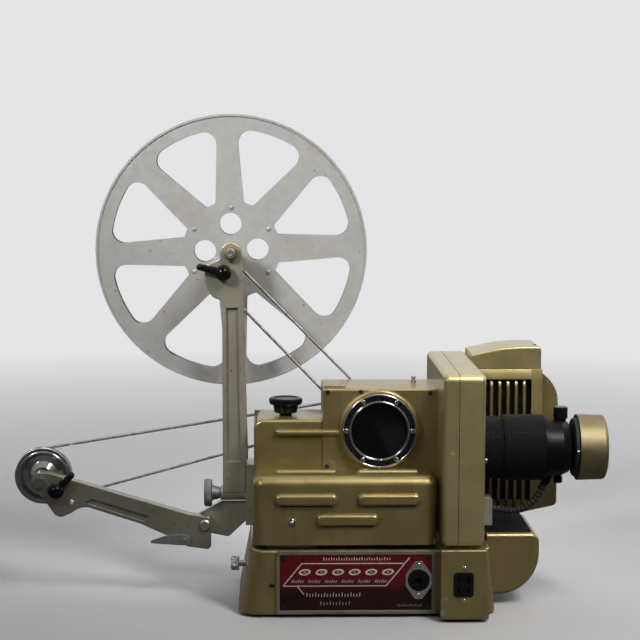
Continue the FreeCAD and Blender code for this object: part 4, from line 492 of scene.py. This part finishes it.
def shape_from(*parts):
    """One shape from several (vertices, faces)."""
    vertices, faces = [], []
    for some_vertices, some_faces in parts:
        start = len(vertices)
        vertices += some_vertices
        faces += [[start + index for index in face] for face in some_faces]
    return vertices, faces


def add_piece(name, shape, slot, body=None, finish=None, replaced=(), crease=35):
    """An object from (vertices, faces), riding on a CAD body."""
    mesh = bpy.data.meshes.new(name)
    mesh.from_pydata(shape[0], [], shape[1])
    work = bmesh.new()
    work.from_mesh(mesh)
    bmesh.ops.remove_doubles(work, verts=work.verts, dist=0.0005 * MM)
    bmesh.ops.recalc_face_normals(work, faces=work.faces)
    work.to_mesh(mesh)
    work.free()
    mesh.polygons.foreach_set("use_smooth", [True] * len(mesh.polygons))
    mesh.set_sharp_from_angle(angle=math.radians(crease))
    piece = bpy.data.objects.new(name, mesh)
    scene.collection.objects.link(piece)
    mesh.materials.append(finish or finishes[slot])
    if body:
        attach(piece, body)
    if replaced:
        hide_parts(*replaced)
    return piece


def lathe(axis, centre, profile, steps=96, teeth=0.0):
    """A closed profile of (along, radius) millimetres turned about an axis through centre.

    Every second step of the points beyond the profile's middle radius is teeth lower.
    """
    along, first, second = AXES[axis]
    limit = max(radius for _, radius in profile) - 1.5 * teeth
    vertices = []
    for step in range(steps):
        angle = 2 * math.pi * step / steps
        outward = first * math.cos(angle) + second * math.sin(angle)
        for level, radius in profile:
            if teeth and step % 2 and radius > limit:
                radius -= teeth
            vertices.append(centre + along * level * MM + outward * radius * MM)
    count = len(profile)
    faces = []
    for step in range(steps):
        here, there = step * count, (step + 1) % steps * count
        for index in range(count):
            following = (index + 1) % count
            faces.append([here + index, here + following, there + following, there + index])
    return vertices, faces


def prism(axis, centre, low, high, outer, inner=None):
    """An outline of (first, second) millimetres from low to high along an axis.

    With inner, a hole whose outline has as many points.
    """
    along, first, second = AXES[axis]
    loops = [outer] if inner is None else [outer, inner]
    vertices, faces = [], []
    count = len(outer)
    for loop in loops:
        for level in (low, high):
            vertices += [centre + along * level * MM + first * u * MM + second * v * MM for u, v in loop]
    for number in range(len(loops)):
        base = 2 * count * number
        for index in range(count):
            following = (index + 1) % count
            faces.append([base + index, base + following, base + count + following, base + count + index])
    for side in (0, count):
        if inner is None:
            faces.append([side + index for index in range(count)])
        else:
            for index in range(count):
                following = (index + 1) % count
                hole = 2 * count + side
                faces.append([side + index, side + following, hole + following, hole + index])
    return vertices, faces


def ellipse(wide, high, steps=48, lean=0.0):
    """Outline of an ellipse in (second, first) order of axis Y: across and up."""
    spots = []
    for step in range(steps):
        angle = 2 * math.pi * step / steps
        up = high * math.sin(angle)
        spots.append((up, wide * math.cos(angle) + lean * up))
    return spots


def sweep(points, radius_at, sides=12, closed=False):
    """A tube along points in a plane of constant Y.

    radius_at(length, angle) gives the radius in metres.
    """
    side = AXES["Y"][0]
    count = len(points)
    vertices, length = [], 0.0
    for index, point in enumerate(points):
        before = points[index - 1] if index or closed else point
        after = points[(index + 1) % count] if index + 1 < count or closed else point
        lifted = (after - before).normalized().cross(side)
        if index:
            length += (point - points[index - 1]).length
        for step in range(sides):
            angle = 2 * math.pi * step / sides
            radius = radius_at(length, angle)
            vertices.append(point + (side * math.cos(angle) + lifted * math.sin(angle)) * radius)
    faces = []
    for index in range(count if closed else count - 1):
        here, there = index * sides, (index + 1) % count * sides
        for step in range(sides):
            following = (step + 1) % sides
            faces.append([here + step, here + following, there + following, there + step])
    if not closed:
        faces.append(list(range(sides)))
        faces.append([(count - 1) * sides + step for step in range(sides)])
    return vertices, faces


# ---------------------------------------------------------------- amplifier panel

def make_panel_print():
    """White lines, ovals and scales on the panel; X and Z are millimetres from its low corner."""
    corner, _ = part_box("amplifier_panel")
    back, front = 0.05, -0.14
    line = 0.62

    def stroke(x_start, z_start, x_end, z_end, width=line):
        across = Vector((x_end - x_start, z_end - z_start)).normalized() * width
        ends = [(x_start, z_start, 1), (x_start, z_start, -1), (x_end, z_end, -1), (x_end, z_end, 1)]
        outline = [(z + sign * across.x, x - sign * across.y) for x, z, sign in ends]
        return prism("Y", corner, front, back, outline)

    def scale(x_start, x_end, z, tall, pitch, width, lean=0.0):
        marks, x, number = [], x_start, 0
        while x < x_end:
            rise = tall * (1.0 if number % 3 == 0 else 0.72)
            marks.append(stroke(x, z, x + lean * rise, z + rise, width))
            x += pitch
            number += 1
        return marks

    lean = 0.82
    bottom, top, left, right = 30.5, 58.5, 3.9, 130.3
    shift = lean * (top - bottom)
    parts = [
        stroke(left, bottom, right, bottom),
        stroke(left + shift, top, right + shift, top),
        stroke(left, bottom, left + shift, top),
        stroke(right, bottom, right + shift + 6, top + 6 / lean),
        stroke(22, bottom - 1, 29.5, bottom - 10.5),
    ]
    for number in range(6):
        across = 30.5 + 20.4 * number
        centre = corner + Vector((across * MM, 0, 47.8 * MM))
        rim, opening = ellipse(7.2, 4.0, lean=0.35), ellipse(4.6, 2.1, lean=0.35)
        parts.append(prism("Y", centre, front, back, rim, opening))
        parts.append(prism("Y", centre, front, back, ellipse(1.9, 0.45, steps=16, lean=0.35)))
        parts += scale(across - 16, across - 2, 34.5, 4.0, 2.6, 0.36, lean=0.5)
    parts += scale(54, 136, 62.4, 4.0, 3.1, 0.5)
    parts += scale(33, 101, 17.0, 5.0, 3.6, 0.5, lean=0.1)
    parts += scale(50, 86, 6.6, 4.6, 3.9, 0.42, lean=0.1)
    parts += scale(145, 174, 4.6, 2.8, 2.4, 0.28, lean=0.1)
    finish = white_print("white_print")
    return add_piece("panel_print", shape_from(*parts), "steel_panel_edge", "root", finish)


# ---------------------------------------------------------------- porthole

def half_round(radius, width, height, base):
    """Profile of a bead round an axis, standing height from base towards lower levels."""
    spots = [(base, radius + width / 2), (base, radius - width / 2)]
    for step in range(1, 8):
        angle = math.pi * step / 8
        spots.append((base - height * math.sin(angle), radius - width / 2 * math.cos(angle)))
    return spots


def make_porthole_beads():
    """Two polished beads, outside and inside the enamelled band."""
    low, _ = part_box("porthole_ring")
    centre = Vector((ring_centre.x, low.y, ring_centre.z))
    outer = lathe("Y", centre, half_round(ENAMEL_OUTER + 0.9, 1.8, 0.9, 0.3), steps=160)
    inner = lathe("Y", centre, half_round(ENAMEL_INNER - 1.2, 2.2, 1.2, 0.3), steps=160)
    add_piece("porthole_beads", shape_from(outer, inner), "chrome_plate", "root")


# ---------------------------------------------------------------- small fittings

def make_oil_cup():
    """The oiler on top of the mechanism case: a post with a sprung cap."""
    low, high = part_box("mechanism_case")
    spot = Vector((low.x + 117 * MM, (low.y + high.y) / 2 + 22 * MM, high.z))
    profile = [(-2.0, 0), (-2.0, 3.4), (0.8, 3.4), (1.0, 2.5), (2.2, 2.3), (3.4, 2.3),
               (3.7, 3.0), (5.4, 3.0), (6.0, 2.2), (6.2, 0)]
    add_piece("oil_cup", lathe("Z", spot, profile, steps=40), "steel", "root")


def make_knurls():
    """Knurled rims over the arm's thumbscrew and the earth terminal."""
    low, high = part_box("arm_thumbscrew")
    centre = (low + high) / 2
    reach = (high.z - low.z) / 2 / MM
    start = Vector((low.x, centre.y, centre.z))
    profile = [(1.2, reach - 1.2), (0.8, reach - 0.2), (1.7, reach + 0.35),
               (8.3, reach + 0.35), (9.2, reach - 0.2), (8.8, reach - 1.2)]
    wheel = lathe("X", start, profile, steps=144, teeth=0.55)
    add_piece("thumbscrew_knurl", wheel, "steel", "thumbscrew", own_finishes["arm_thumbscrew"])

    low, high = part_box("earth_terminal")
    centre = (low + high) / 2
    reach = (high.z - low.z) / 2 / MM
    start = Vector((low.x, centre.y, centre.z))
    bands = []
    for offset in (1.0, 6.4):
        profile = [(offset, reach - 0.8), (offset, reach + 0.1), (offset + 0.5, reach + 0.4),
                   (offset + 3.8, reach + 0.4), (offset + 4.3, reach + 0.1), (offset + 4.3, reach - 0.8)]
        bands.append(lathe("X", start, profile, steps=96, teeth=0.4))
    add_piece("terminal_knurl", shape_from(*bands), "chrome_plate", "root")


def make_spindle_nut():
    """The round nut on its brass washer and the slotted pin end, on the reel spindle's front."""
    low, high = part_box("reel_spindle")
    centre = Vector(((low.x + high.x) / 2, low.y, (low.z + high.z) / 2))
    washer = lathe("Y", centre, [(-0.2, 0), (-0.2, 9.1), (0.9, 9.3), (0.9, 0)], steps=64)
    add_piece("spindle_washer", washer, "brass", "reel")
    profile = [(-0.1, 0), (-0.1, 6.6), (-2.4, 6.5), (-3.0, 5.9), (-3.0, 2.4), (-2.3, 1.9), (-2.3, 0)]
    add_piece("spindle_nut", lathe("Y", centre, profile, steps=64), "steel", "reel")


def make_reel_tabs():
    """The small turned-up tabs that hold the reel's side to its hub."""
    centre = middle("reel_front_flange")
    low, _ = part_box("reel_front_flange")
    reach = 55.2 * MM
    tabs = []
    for number in range(6):
        angle = math.radians(30 + 60 * number)
        spot = Vector((centre.x + reach * math.cos(angle), low.y, centre.z + reach * math.sin(angle)))
        profile = [(0.2, 0), (0.2, 2.7), (-0.35, 2.5), (-0.8, 1.8), (-0.95, 0.9), (-1.0, 0)]
        tabs.append(lathe("Y", spot, profile, steps=28))
    add_piece("reel_tabs", shape_from(*tabs), "reel_metal", "reel")


def make_base_plug():
    """The blind plug beside the amplifier panel."""
    low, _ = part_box("panel_frame")
    spot = Vector((low.x - 5.2 * MM, low.y + 2.3 * MM, low.z + 36 * MM))
    profile = [(0.4, 0), (0.4, 2.9), (-0.5, 2.8), (-1.0, 2.0), (-1.2, 0)]
    add_piece("base_plug", lathe("Y", spot, profile, steps=32), "black_steel", "root")


def round_head(spot, axis, radius, sign):
    """A slotted round-head screw; sign is the way its head points along the axis."""
    profile = [(-0.6 * sign, 0), (-0.6 * sign, radius)]
    for step in range(5):
        angle = math.radians(90 * step / 4)
        profile.append((sign * 0.62 * radius * math.sin(angle), radius * math.cos(angle)))
    return lathe(axis, spot, profile, steps=28)


def make_rear_screws():
    """Round-head screws that hold the main plate and the fan casing, on the film side."""
    low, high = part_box("main_plate")
    inset = 12 * MM
    screws = []
    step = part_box("drive_housing")[1].z
    for x, top in ((low.x + inset, step), (middle("mechanism_case").x, high.z), (high.x - inset, high.z)):
        for z in (low.z + inset, top - inset):
            screws.append(round_head(Vector((x, high.y, z)), "Y", 3.0, 1))
    add_piece("plate_screws", shape_from(*screws), "steel", "root")
    low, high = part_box("fan_casing_right")
    screws = []
    for y in (low.y + inset, high.y - inset):
        for z in (low.z + inset, high.z - inset):
            screws.append(round_head(Vector((high.x, y, z)), "X", 3.2, 1))
    add_piece("casing_screws", shape_from(*screws), "black_steel", "root")
    low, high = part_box("lamphouse_hood")
    spot = Vector((high.x - 6 * MM, low.y + 22 * MM, high.z - 0.6 * MM))
    add_piece("hood_screw", round_head(spot, "Z", 2.4, 1), "black_steel", "root")


# ---------------------------------------------------------------- spring belts

def belt_path(first, first_radius, second, second_radius, spacing):
    """Points of a belt round two pulleys, in the plane of their centres, about spacing apart."""
    gap = second - first
    heading = math.atan2(gap.z, gap.x)
    spread = math.acos((first_radius - second_radius) / gap.length)
    points = []

    def arc(centre, radius, start, end):
        steps = max(2, round(radius * (end - start) / spacing))
        for step in range(steps):
            angle = start + (end - start) * step / steps
            points.append(centre + Vector((math.cos(angle), 0, math.sin(angle))) * radius)

    def run(end):
        start = points[-1]
        steps = round((end - start).length / spacing)
        for step in range(1, steps):
            points.append(start.lerp(end, step / steps))

    def rim(centre, radius, angle):
        return centre + Vector((math.cos(angle), 0, math.sin(angle))) * radius

    arc(first, first_radius, heading + spread, heading - spread + 2 * math.pi)
    run(rim(second, second_radius, heading - spread))
    arc(second, second_radius, heading - spread, heading + spread)
    run(rim(first, first_radius, heading + spread))
    return points


# Where the lower belt's two ends hook together, on its upper run.
HOOK_SPOT = Vector((-0.3029, middle("lower_belt").y, 0.1913))


def make_belts():
    """Close-wound spring wire, hooked into a loop."""
    wire, pitch, groove = 1.9 * MM, 1.5 * MM, 0.2 * MM
    drive_upper, drive_lower, upper_groove, takeup_groove = 18.25 * MM, 12.55 * MM, 17.25 * MM, 34.75 * MM
    drive = middle("drive_pulley")
    upper_plane = middle("upper_belt").y
    lower_plane = middle("lower_belt").y
    upper = middle("upper_pulley")
    takeup = middle("takeup_pulley")

    def coiled(length, angle):
        return wire - groove * (0.5 + 0.5 * math.cos(2 * math.pi * length / pitch + angle))

    def on_plane(point, plane):
        return Vector((point.x, plane, point.z))

    path = belt_path(on_plane(drive, upper_plane), drive_upper,
                     on_plane(upper, upper_plane), upper_groove, pitch / 3)
    add_piece("upper_spring_belt", sweep(path, coiled, sides=10, closed=True), "belt_wire", "root",
              replaced=["upper_belt"], crease=80)

    path = belt_path(on_plane(drive, lower_plane), drive_lower,
                     on_plane(takeup, lower_plane), takeup_groove, pitch / 3)
    hook = min(range(len(path)), key=lambda index: (path[index] - HOOK_SPOT).length)
    hook_length = sum((path[index] - path[index - 1]).length for index in range(1, hook + 1))

    def hooked(length, angle):
        if abs(length - hook_length) < 2.4 * MM:
            return 0.7 * MM
        return coiled(length, angle)

    belt = add_piece("lower_spring_belt", sweep(path, hooked, sides=10, closed=True), "belt_wire",
                     replaced=["lower_belt"], crease=80)
    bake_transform(belt)


# ---------------------------------------------------------------- the motor's lead

# The lead's route, as its CAD tube has it, in metres.
CONDUIT_POINTS = [(0.22665, -0.0442, 0.1258), (0.24165, -0.0442, 0.1244), (0.25615, -0.0442, 0.1218),
                  (0.27065, -0.0442, 0.1245), (0.28365, -0.0442, 0.1332), (0.29245, -0.0442, 0.1456),
                  (0.29765, -0.0442, 0.1580)]


def smooth_line(points):
    """The points that Blender gives along a NURBS curve of order 3 through a route."""
    curve = bpy.data.curves.new("route", "CURVE")
    curve.dimensions = "3D"
    spline = curve.splines.new("NURBS")
    spline.points.add(len(points) - 1)
    for point, place in zip(spline.points, points):
        point.co = (*place, 1)
    spline.order_u = 3
    spline.use_endpoint_u = True
    spline.resolution_u = 24
    holder = bpy.data.objects.new("route", curve)
    scene.collection.objects.link(holder)
    bpy.context.view_layer.update()
    mesh = bpy.data.meshes.new_from_object(holder)
    line = [vertex.co.copy() for vertex in mesh.vertices]
    bpy.data.objects.remove(holder)
    bpy.data.curves.remove(curve)
    bpy.data.meshes.remove(mesh)
    return line


def evenly(line, spacing):
    """Points spacing apart along a line, its ends included."""
    total = sum((there - here).length for here, there in zip(line, line[1:]))
    count = round(total / spacing)
    spots, walked, target = [], 0.0, 0.0
    for here, there in zip(line, line[1:]):
        step = (there - here).length
        while target <= walked + step + 1e-9 and len(spots) <= count:
            spots.append(here.lerp(there, (target - walked) / step if step else 0))
            target += total / count
        walked += step
    return spots


def make_conduit():
    """Corrugated lead from the bracket into the gland under the motor."""
    radius, pitch, depth = 4.75 * MM, 5.2 * MM, 1.3 * MM
    path = evenly(smooth_line(CONDUIT_POINTS), pitch / 12)

    def ribbed(length, angle):
        wave = 0.5 + 0.5 * math.cos(2 * math.pi * length / pitch)
        return radius - depth * wave ** 2

    lead = add_piece("corrugated_lead", sweep(path, ribbed, sides=32), "black_conduit", "root",
                     replaced=["motor_conduit"], crease=80)


def make_motor_fittings():
    """Two bright terminal screws at the motor's flange."""
    low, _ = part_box("motor_body")
    screws = [round_head(Vector((low.x + 6 * MM, low.y + 4 * MM, low.z + 46 * MM)), "Y", 2.2, -1),
              round_head(Vector((low.x + 5 * MM, low.y + 3 * MM, low.z + 31 * MM)), "Y", 2.6, -1)]
    add_piece("motor_terminals", shape_from(*screws), "chrome_plate", "root")


def rounded_loop(low_u, low_v, high_u, high_v, radius, steps=8):
    """Outline of a rectangle with rounded corners, in millimetres."""
    spots = []
    for number, (u, v) in enumerate(((high_u, high_v), (low_u, high_v), (low_u, low_v), (high_u, low_v))):
        centre_u = u - radius if u == high_u else u + radius
        centre_v = v - radius if v == high_v else v + radius
        for step in range(steps + 1):
            angle = math.radians(90 * (number + step / steps))
            spots.append((centre_u + radius * math.cos(angle), centre_v + radius * math.sin(angle)))
    return spots


def make_casing_seam():
    """The dark joint line round the two halves of the fan casing."""
    low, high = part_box("fan_casing_left")
    corner = Vector((high.x, low.y, low.z))
    wide, tall = (high.y - low.y) / MM, (high.z - low.z) / MM
    outer = rounded_loop(-0.1, -0.1, wide - 0.05, tall + 0.1, 9.1)
    inner = rounded_loop(1, 1, wide - 1, tall - 1, 8)
    add_piece("casing_seam", prism("X", corner, -0.35, 0.35, outer, inner), "black_steel", "root")


def make_lamp_baffle():
    """Dark sheet bent round three sides of the lamp, open towards the beam."""
    low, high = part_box("lamphouse_body")
    bottom, top = 14, 172
    left, right, near, far = 8, (high.x - low.x) / MM - 24, 12, (high.y - low.y) / MM - 12
    sheet = 0.8
    outline = [(left, near), (right, near), (right, far), (left, far), (left, far - sheet),
               (right - sheet, far - sheet), (right - sheet, near + sheet), (left, near + sheet)]
    shape = prism("Z", Vector((low.x, low.y, low.z)), bottom, top, outline)
    add_piece("lamp_baffle", shape, "black_steel", "root", finishes["black_rubber"])


def make_knob_back():
    """Black backing of the inching knob, its neck towards the motor and its bright grub screw."""
    low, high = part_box("inching_knob")
    centre = Vector((low.x, (low.y + high.y) / 2, (low.z + high.z) / 2))
    profile = [(-5.0, 5.2), (-5.0, 35.2), (-4.2, 36.2), (2.2, 37.4), (2.2, 5.2)]
    add_piece("knob_backing", lathe("X", centre, profile, steps=96), "black_bakelite", "motor",
              finishes["black_conduit"])
    screw = round_head(centre + Vector((-2.6 * MM, -36.0 * MM, 0)), "Y", 2.3, -1)
    add_piece("knob_grub_screw", screw, "chrome_plate", "motor")


def make_cover_screw():
    """Slotted screw in a bright cup washer on the louvre cover's front."""
    across, up, proud = -18.35 * MM, 118 * MM, 44 * MM
    spot = Vector((across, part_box("mechanism_case")[0].y - proud, up))
    washer = lathe("Y", spot, [(0.2, 2.4), (0.2, 5.4), (-0.9, 5.0), (-1.5, 4.2), (-1.1, 2.4)], steps=48)
    head = round_head(spot + Vector((0, -0.6 * MM, 0)), "Y", 3.1, -1)
    add_piece("cover_washer", washer, "chrome_plate", "root")
    add_piece("cover_screw", head, "steel", "root")


def make_lamphouse_fronts():
    """Flat cheek over the last slot and a sloping band that carries the fins up to the hood."""
    corner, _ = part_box("lamphouse_body")
    proud, hood_front, skin = -0.3, 4, 9
    hood_foot, slot_top = 189.8, 177
    cheek_left, cheek_right = 77, 91.2
    cheek = [(proud, 20), (proud, slot_top - 5), (hood_front, hood_foot), (skin, hood_foot), (skin, 8)]
    add_piece("lamphouse_cheek", prism("X", corner, cheek_left, cheek_right, cheek), "gold_paint", "root")
    band = [(proud, slot_top), (proud, slot_top + 1.5), (hood_front, hood_foot), (skin, hood_foot),
            (skin, slot_top)]
    add_piece("lamphouse_band", prism("X", corner, 0.5, cheek_left, band), "gold_paint", "root")


def make_louvre_lips():
    """Rounded fronts of the two top louvres, which breathe towards the case."""
    low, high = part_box("louvre_cover")
    start = Vector((low.x, low.y, high.z))
    louvre_lefts, opening = (30, 131), 71
    centre_y, centre_z, outer, inner, foot = 25.0, -4.5, 4.55, 3.7, -6.0
    turns = [math.radians(90 + 90 * step / 8) for step in range(9)]
    outline = [(centre_y + outer * math.cos(turn), centre_z + outer * math.sin(turn)) for turn in turns]
    outline += [(centre_y - outer, foot), (centre_y - inner, foot)]
    outline += [(centre_y + inner * math.cos(turn), centre_z + inner * math.sin(turn))
                for turn in reversed(turns)]
    lips = [prism("X", start, left, left + opening, outline) for left in louvre_lefts]
    add_piece("louvre_lips", shape_from(*lips), "gold_paint", "root")


def make_rear_shade_sheet():
    """Thin dark sheet on top of the rear housing, over its slots: painted shade, standing in for the shadow
    that lies on that top.
    """
    low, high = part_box("rear_housing")
    corner = Vector((low.x, low.y, high.z))
    wide, deep = (high.x - low.x) / MM, (high.y - low.y) / MM
    outline = rounded_loop(1, 8, wide - 9, deep - 9, 4)
    add_piece("rear_shade_sheet", prism("Z", corner, 0.05, 0.7, outline), "black_wrinkle", "root")


def make_takeup_bead():
    """Bright rolled bead between the take-up pulley's dished web and its belt groove."""
    low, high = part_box("lower_belt")
    centre = middle("takeup_pulley")
    spot = Vector((centre.x, (low.y + high.y) / 2, centre.z))
    bead = lathe("Y", spot, half_round(30.9, 2.6, 1.6, -4.9), steps=128)
    add_piece("takeup_bead", bead, "chrome_plate", "takeup_pulley")


make_panel_print()
make_casing_seam()
make_lamp_baffle()
make_knob_back()
make_takeup_bead()
make_cover_screw()
make_lamphouse_fronts()
make_louvre_lips()
make_rear_shade_sheet()
make_porthole_beads()
make_oil_cup()
make_knurls()
make_spindle_nut()
make_reel_tabs()
make_base_plug()
make_rear_screws()
make_belts()
make_conduit()
make_motor_fittings()

# ---------------------------------------------------------------- floor, light and camera

FLOOR_RADIUS = 9.0
BACKDROP = (0.78, 0.78, 0.79)


def make_floor():
    """A wide pale disc under the machine that fades into the backdrop."""
    g = Graph("floor_paper")
    pale = g.mix(g.ramp(g.noise(400, seed=1), 0.3, 0.7), (0.46, 0.46, 0.47), (0.48, 0.48, 0.49))
    watched = g.add("LightPath").outputs["Is Camera Ray"]
    g.give("Base Color", g.mix(watched, (0.07, 0.07, 0.07), pale))
    g.give("Roughness", g.ramp(g.noise(120, seed=2), 0.3, 0.7, 0.6, 0.75))
    far = g.ramp(g.from_axis("Z", Vector((0, 0, 0))), 0.7, 2.6)
    seen = g.calc("MULTIPLY", far, watched)
    glow = g.add("Emission")
    glow.inputs["Color"].default_value = (*BACKDROP, 1)
    blend = g.add("MixShader")
    g.feed(blend.inputs[0], seen)
    g.tree.links.new(g.shader.outputs[0], blend.inputs[1])
    g.tree.links.new(glow.outputs[0], blend.inputs[2])
    g.tree.links.new(blend.outputs[0], g.output.inputs["Surface"])
    mesh = bpy.data.meshes.new("floor")
    work = bmesh.new()
    bmesh.ops.create_circle(work, cap_ends=True, segments=96, radius=FLOOR_RADIUS)
    work.to_mesh(mesh)
    work.free()
    floor = bpy.data.objects.new("floor", mesh)
    scene.collection.objects.link(floor)
    mesh.materials.append(g.material)


def area_light(name, place, target, wide, high, power, spread=180, colour=(1, 1, 1)):
    lamp = bpy.data.lights.new(name, "AREA")
    lamp.shape = "RECTANGLE"
    lamp.size = wide
    lamp.size_y = high
    lamp.energy = power
    lamp.spread = math.radians(spread)
    lamp.color = colour
    holder = bpy.data.objects.new(name, lamp)
    holder.location = place
    holder.rotation_euler = (Vector(target) - Vector(place)).to_track_quat("-Z", "Y").to_euler()
    scene.collection.objects.link(holder)


def make_world():
    """Pale backdrop; what lights the machine is brighter overhead and behind than in front."""
    world = bpy.data.worlds.new("studio")
    scene.world = world
    world.use_nodes = True
    tree = world.node_tree
    tree.nodes.clear()
    output = tree.nodes.new("ShaderNodeOutputWorld")
    place = tree.nodes.new("ShaderNodeTexCoord")
    split = tree.nodes.new("ShaderNodeSeparateXYZ")
    tree.links.new(place.outputs["Generated"], split.inputs[0])
    behind = tree.nodes.new("ShaderNodeMapRange")
    for socket, value in zip(list(behind.inputs)[1:5], (-0.3, 0.8, 0.035, 0.85)):
        socket.default_value = value
    tree.links.new(split.outputs["Y"], behind.inputs[0])
    above = tree.nodes.new("ShaderNodeMapRange")
    for socket, value in zip(list(above.inputs)[1:5], (0.15, 1.0, 0.0, 0.35)):
        socket.default_value = value
    tree.links.new(split.outputs["Z"], above.inputs[0])
    total = tree.nodes.new("ShaderNodeMath")
    tree.links.new(behind.outputs[0], total.inputs[0])
    tree.links.new(above.outputs[0], total.inputs[1])
    lighting = tree.nodes.new("ShaderNodeBackground")
    tree.links.new(total.outputs[0], lighting.inputs["Strength"])
    seen = tree.nodes.new("ShaderNodeBackground")
    seen.inputs["Color"].default_value = (*BACKDROP, 1)
    ray = tree.nodes.new("ShaderNodeLightPath")
    choice = tree.nodes.new("ShaderNodeMixShader")
    tree.links.new(ray.outputs["Is Camera Ray"], choice.inputs[0])
    tree.links.new(lighting.outputs[0], choice.inputs[1])
    tree.links.new(seen.outputs[0], choice.inputs[2])
    tree.links.new(choice.outputs[0], output.inputs["Surface"])


def make_camera():
    """A long lens from the operator's side, a little above the reel's spindle."""
    data = bpy.data.cameras.new("camera")
    data.lens = 99.5
    camera = bpy.data.objects.new("camera", data)
    camera.location = (-0.04555, -2.21486, 0.59217)
    facing = Vector((0.0284, 0.9940, -0.1052)).to_track_quat("-Z", "Y")
    camera.rotation_euler = (facing @ Quaternion((0, 0, 1), 0.003)).to_euler()
    scene.collection.objects.link(camera)
    scene.camera = camera


make_floor()
make_world()
area_light("key", (-1.3, -1.5, 1.6), (-0.22, 0, 0.68), 0.5, 0.5, 1.6, spread=27, colour=(1, 0.985, 0.96))
area_light("fill", (0.8, -1.1, 1.7), (0.22, -0.05, 0.36), 0.4, 0.9, 2.7, spread=44, colour=(1, 0.985, 0.96))
area_light("overhead", (0.2, 0.6, 1.9), (0.05, 0.1, 0.2), 1.8, 1.2, 4.5)
area_light("rim", (1.5, 0.9, 0.9), (0.1, 0, 0.25), 0.7, 1.2, 5, colour=(0.97, 0.98, 1))
make_camera()
scene.view_settings.view_transform = "Standard"
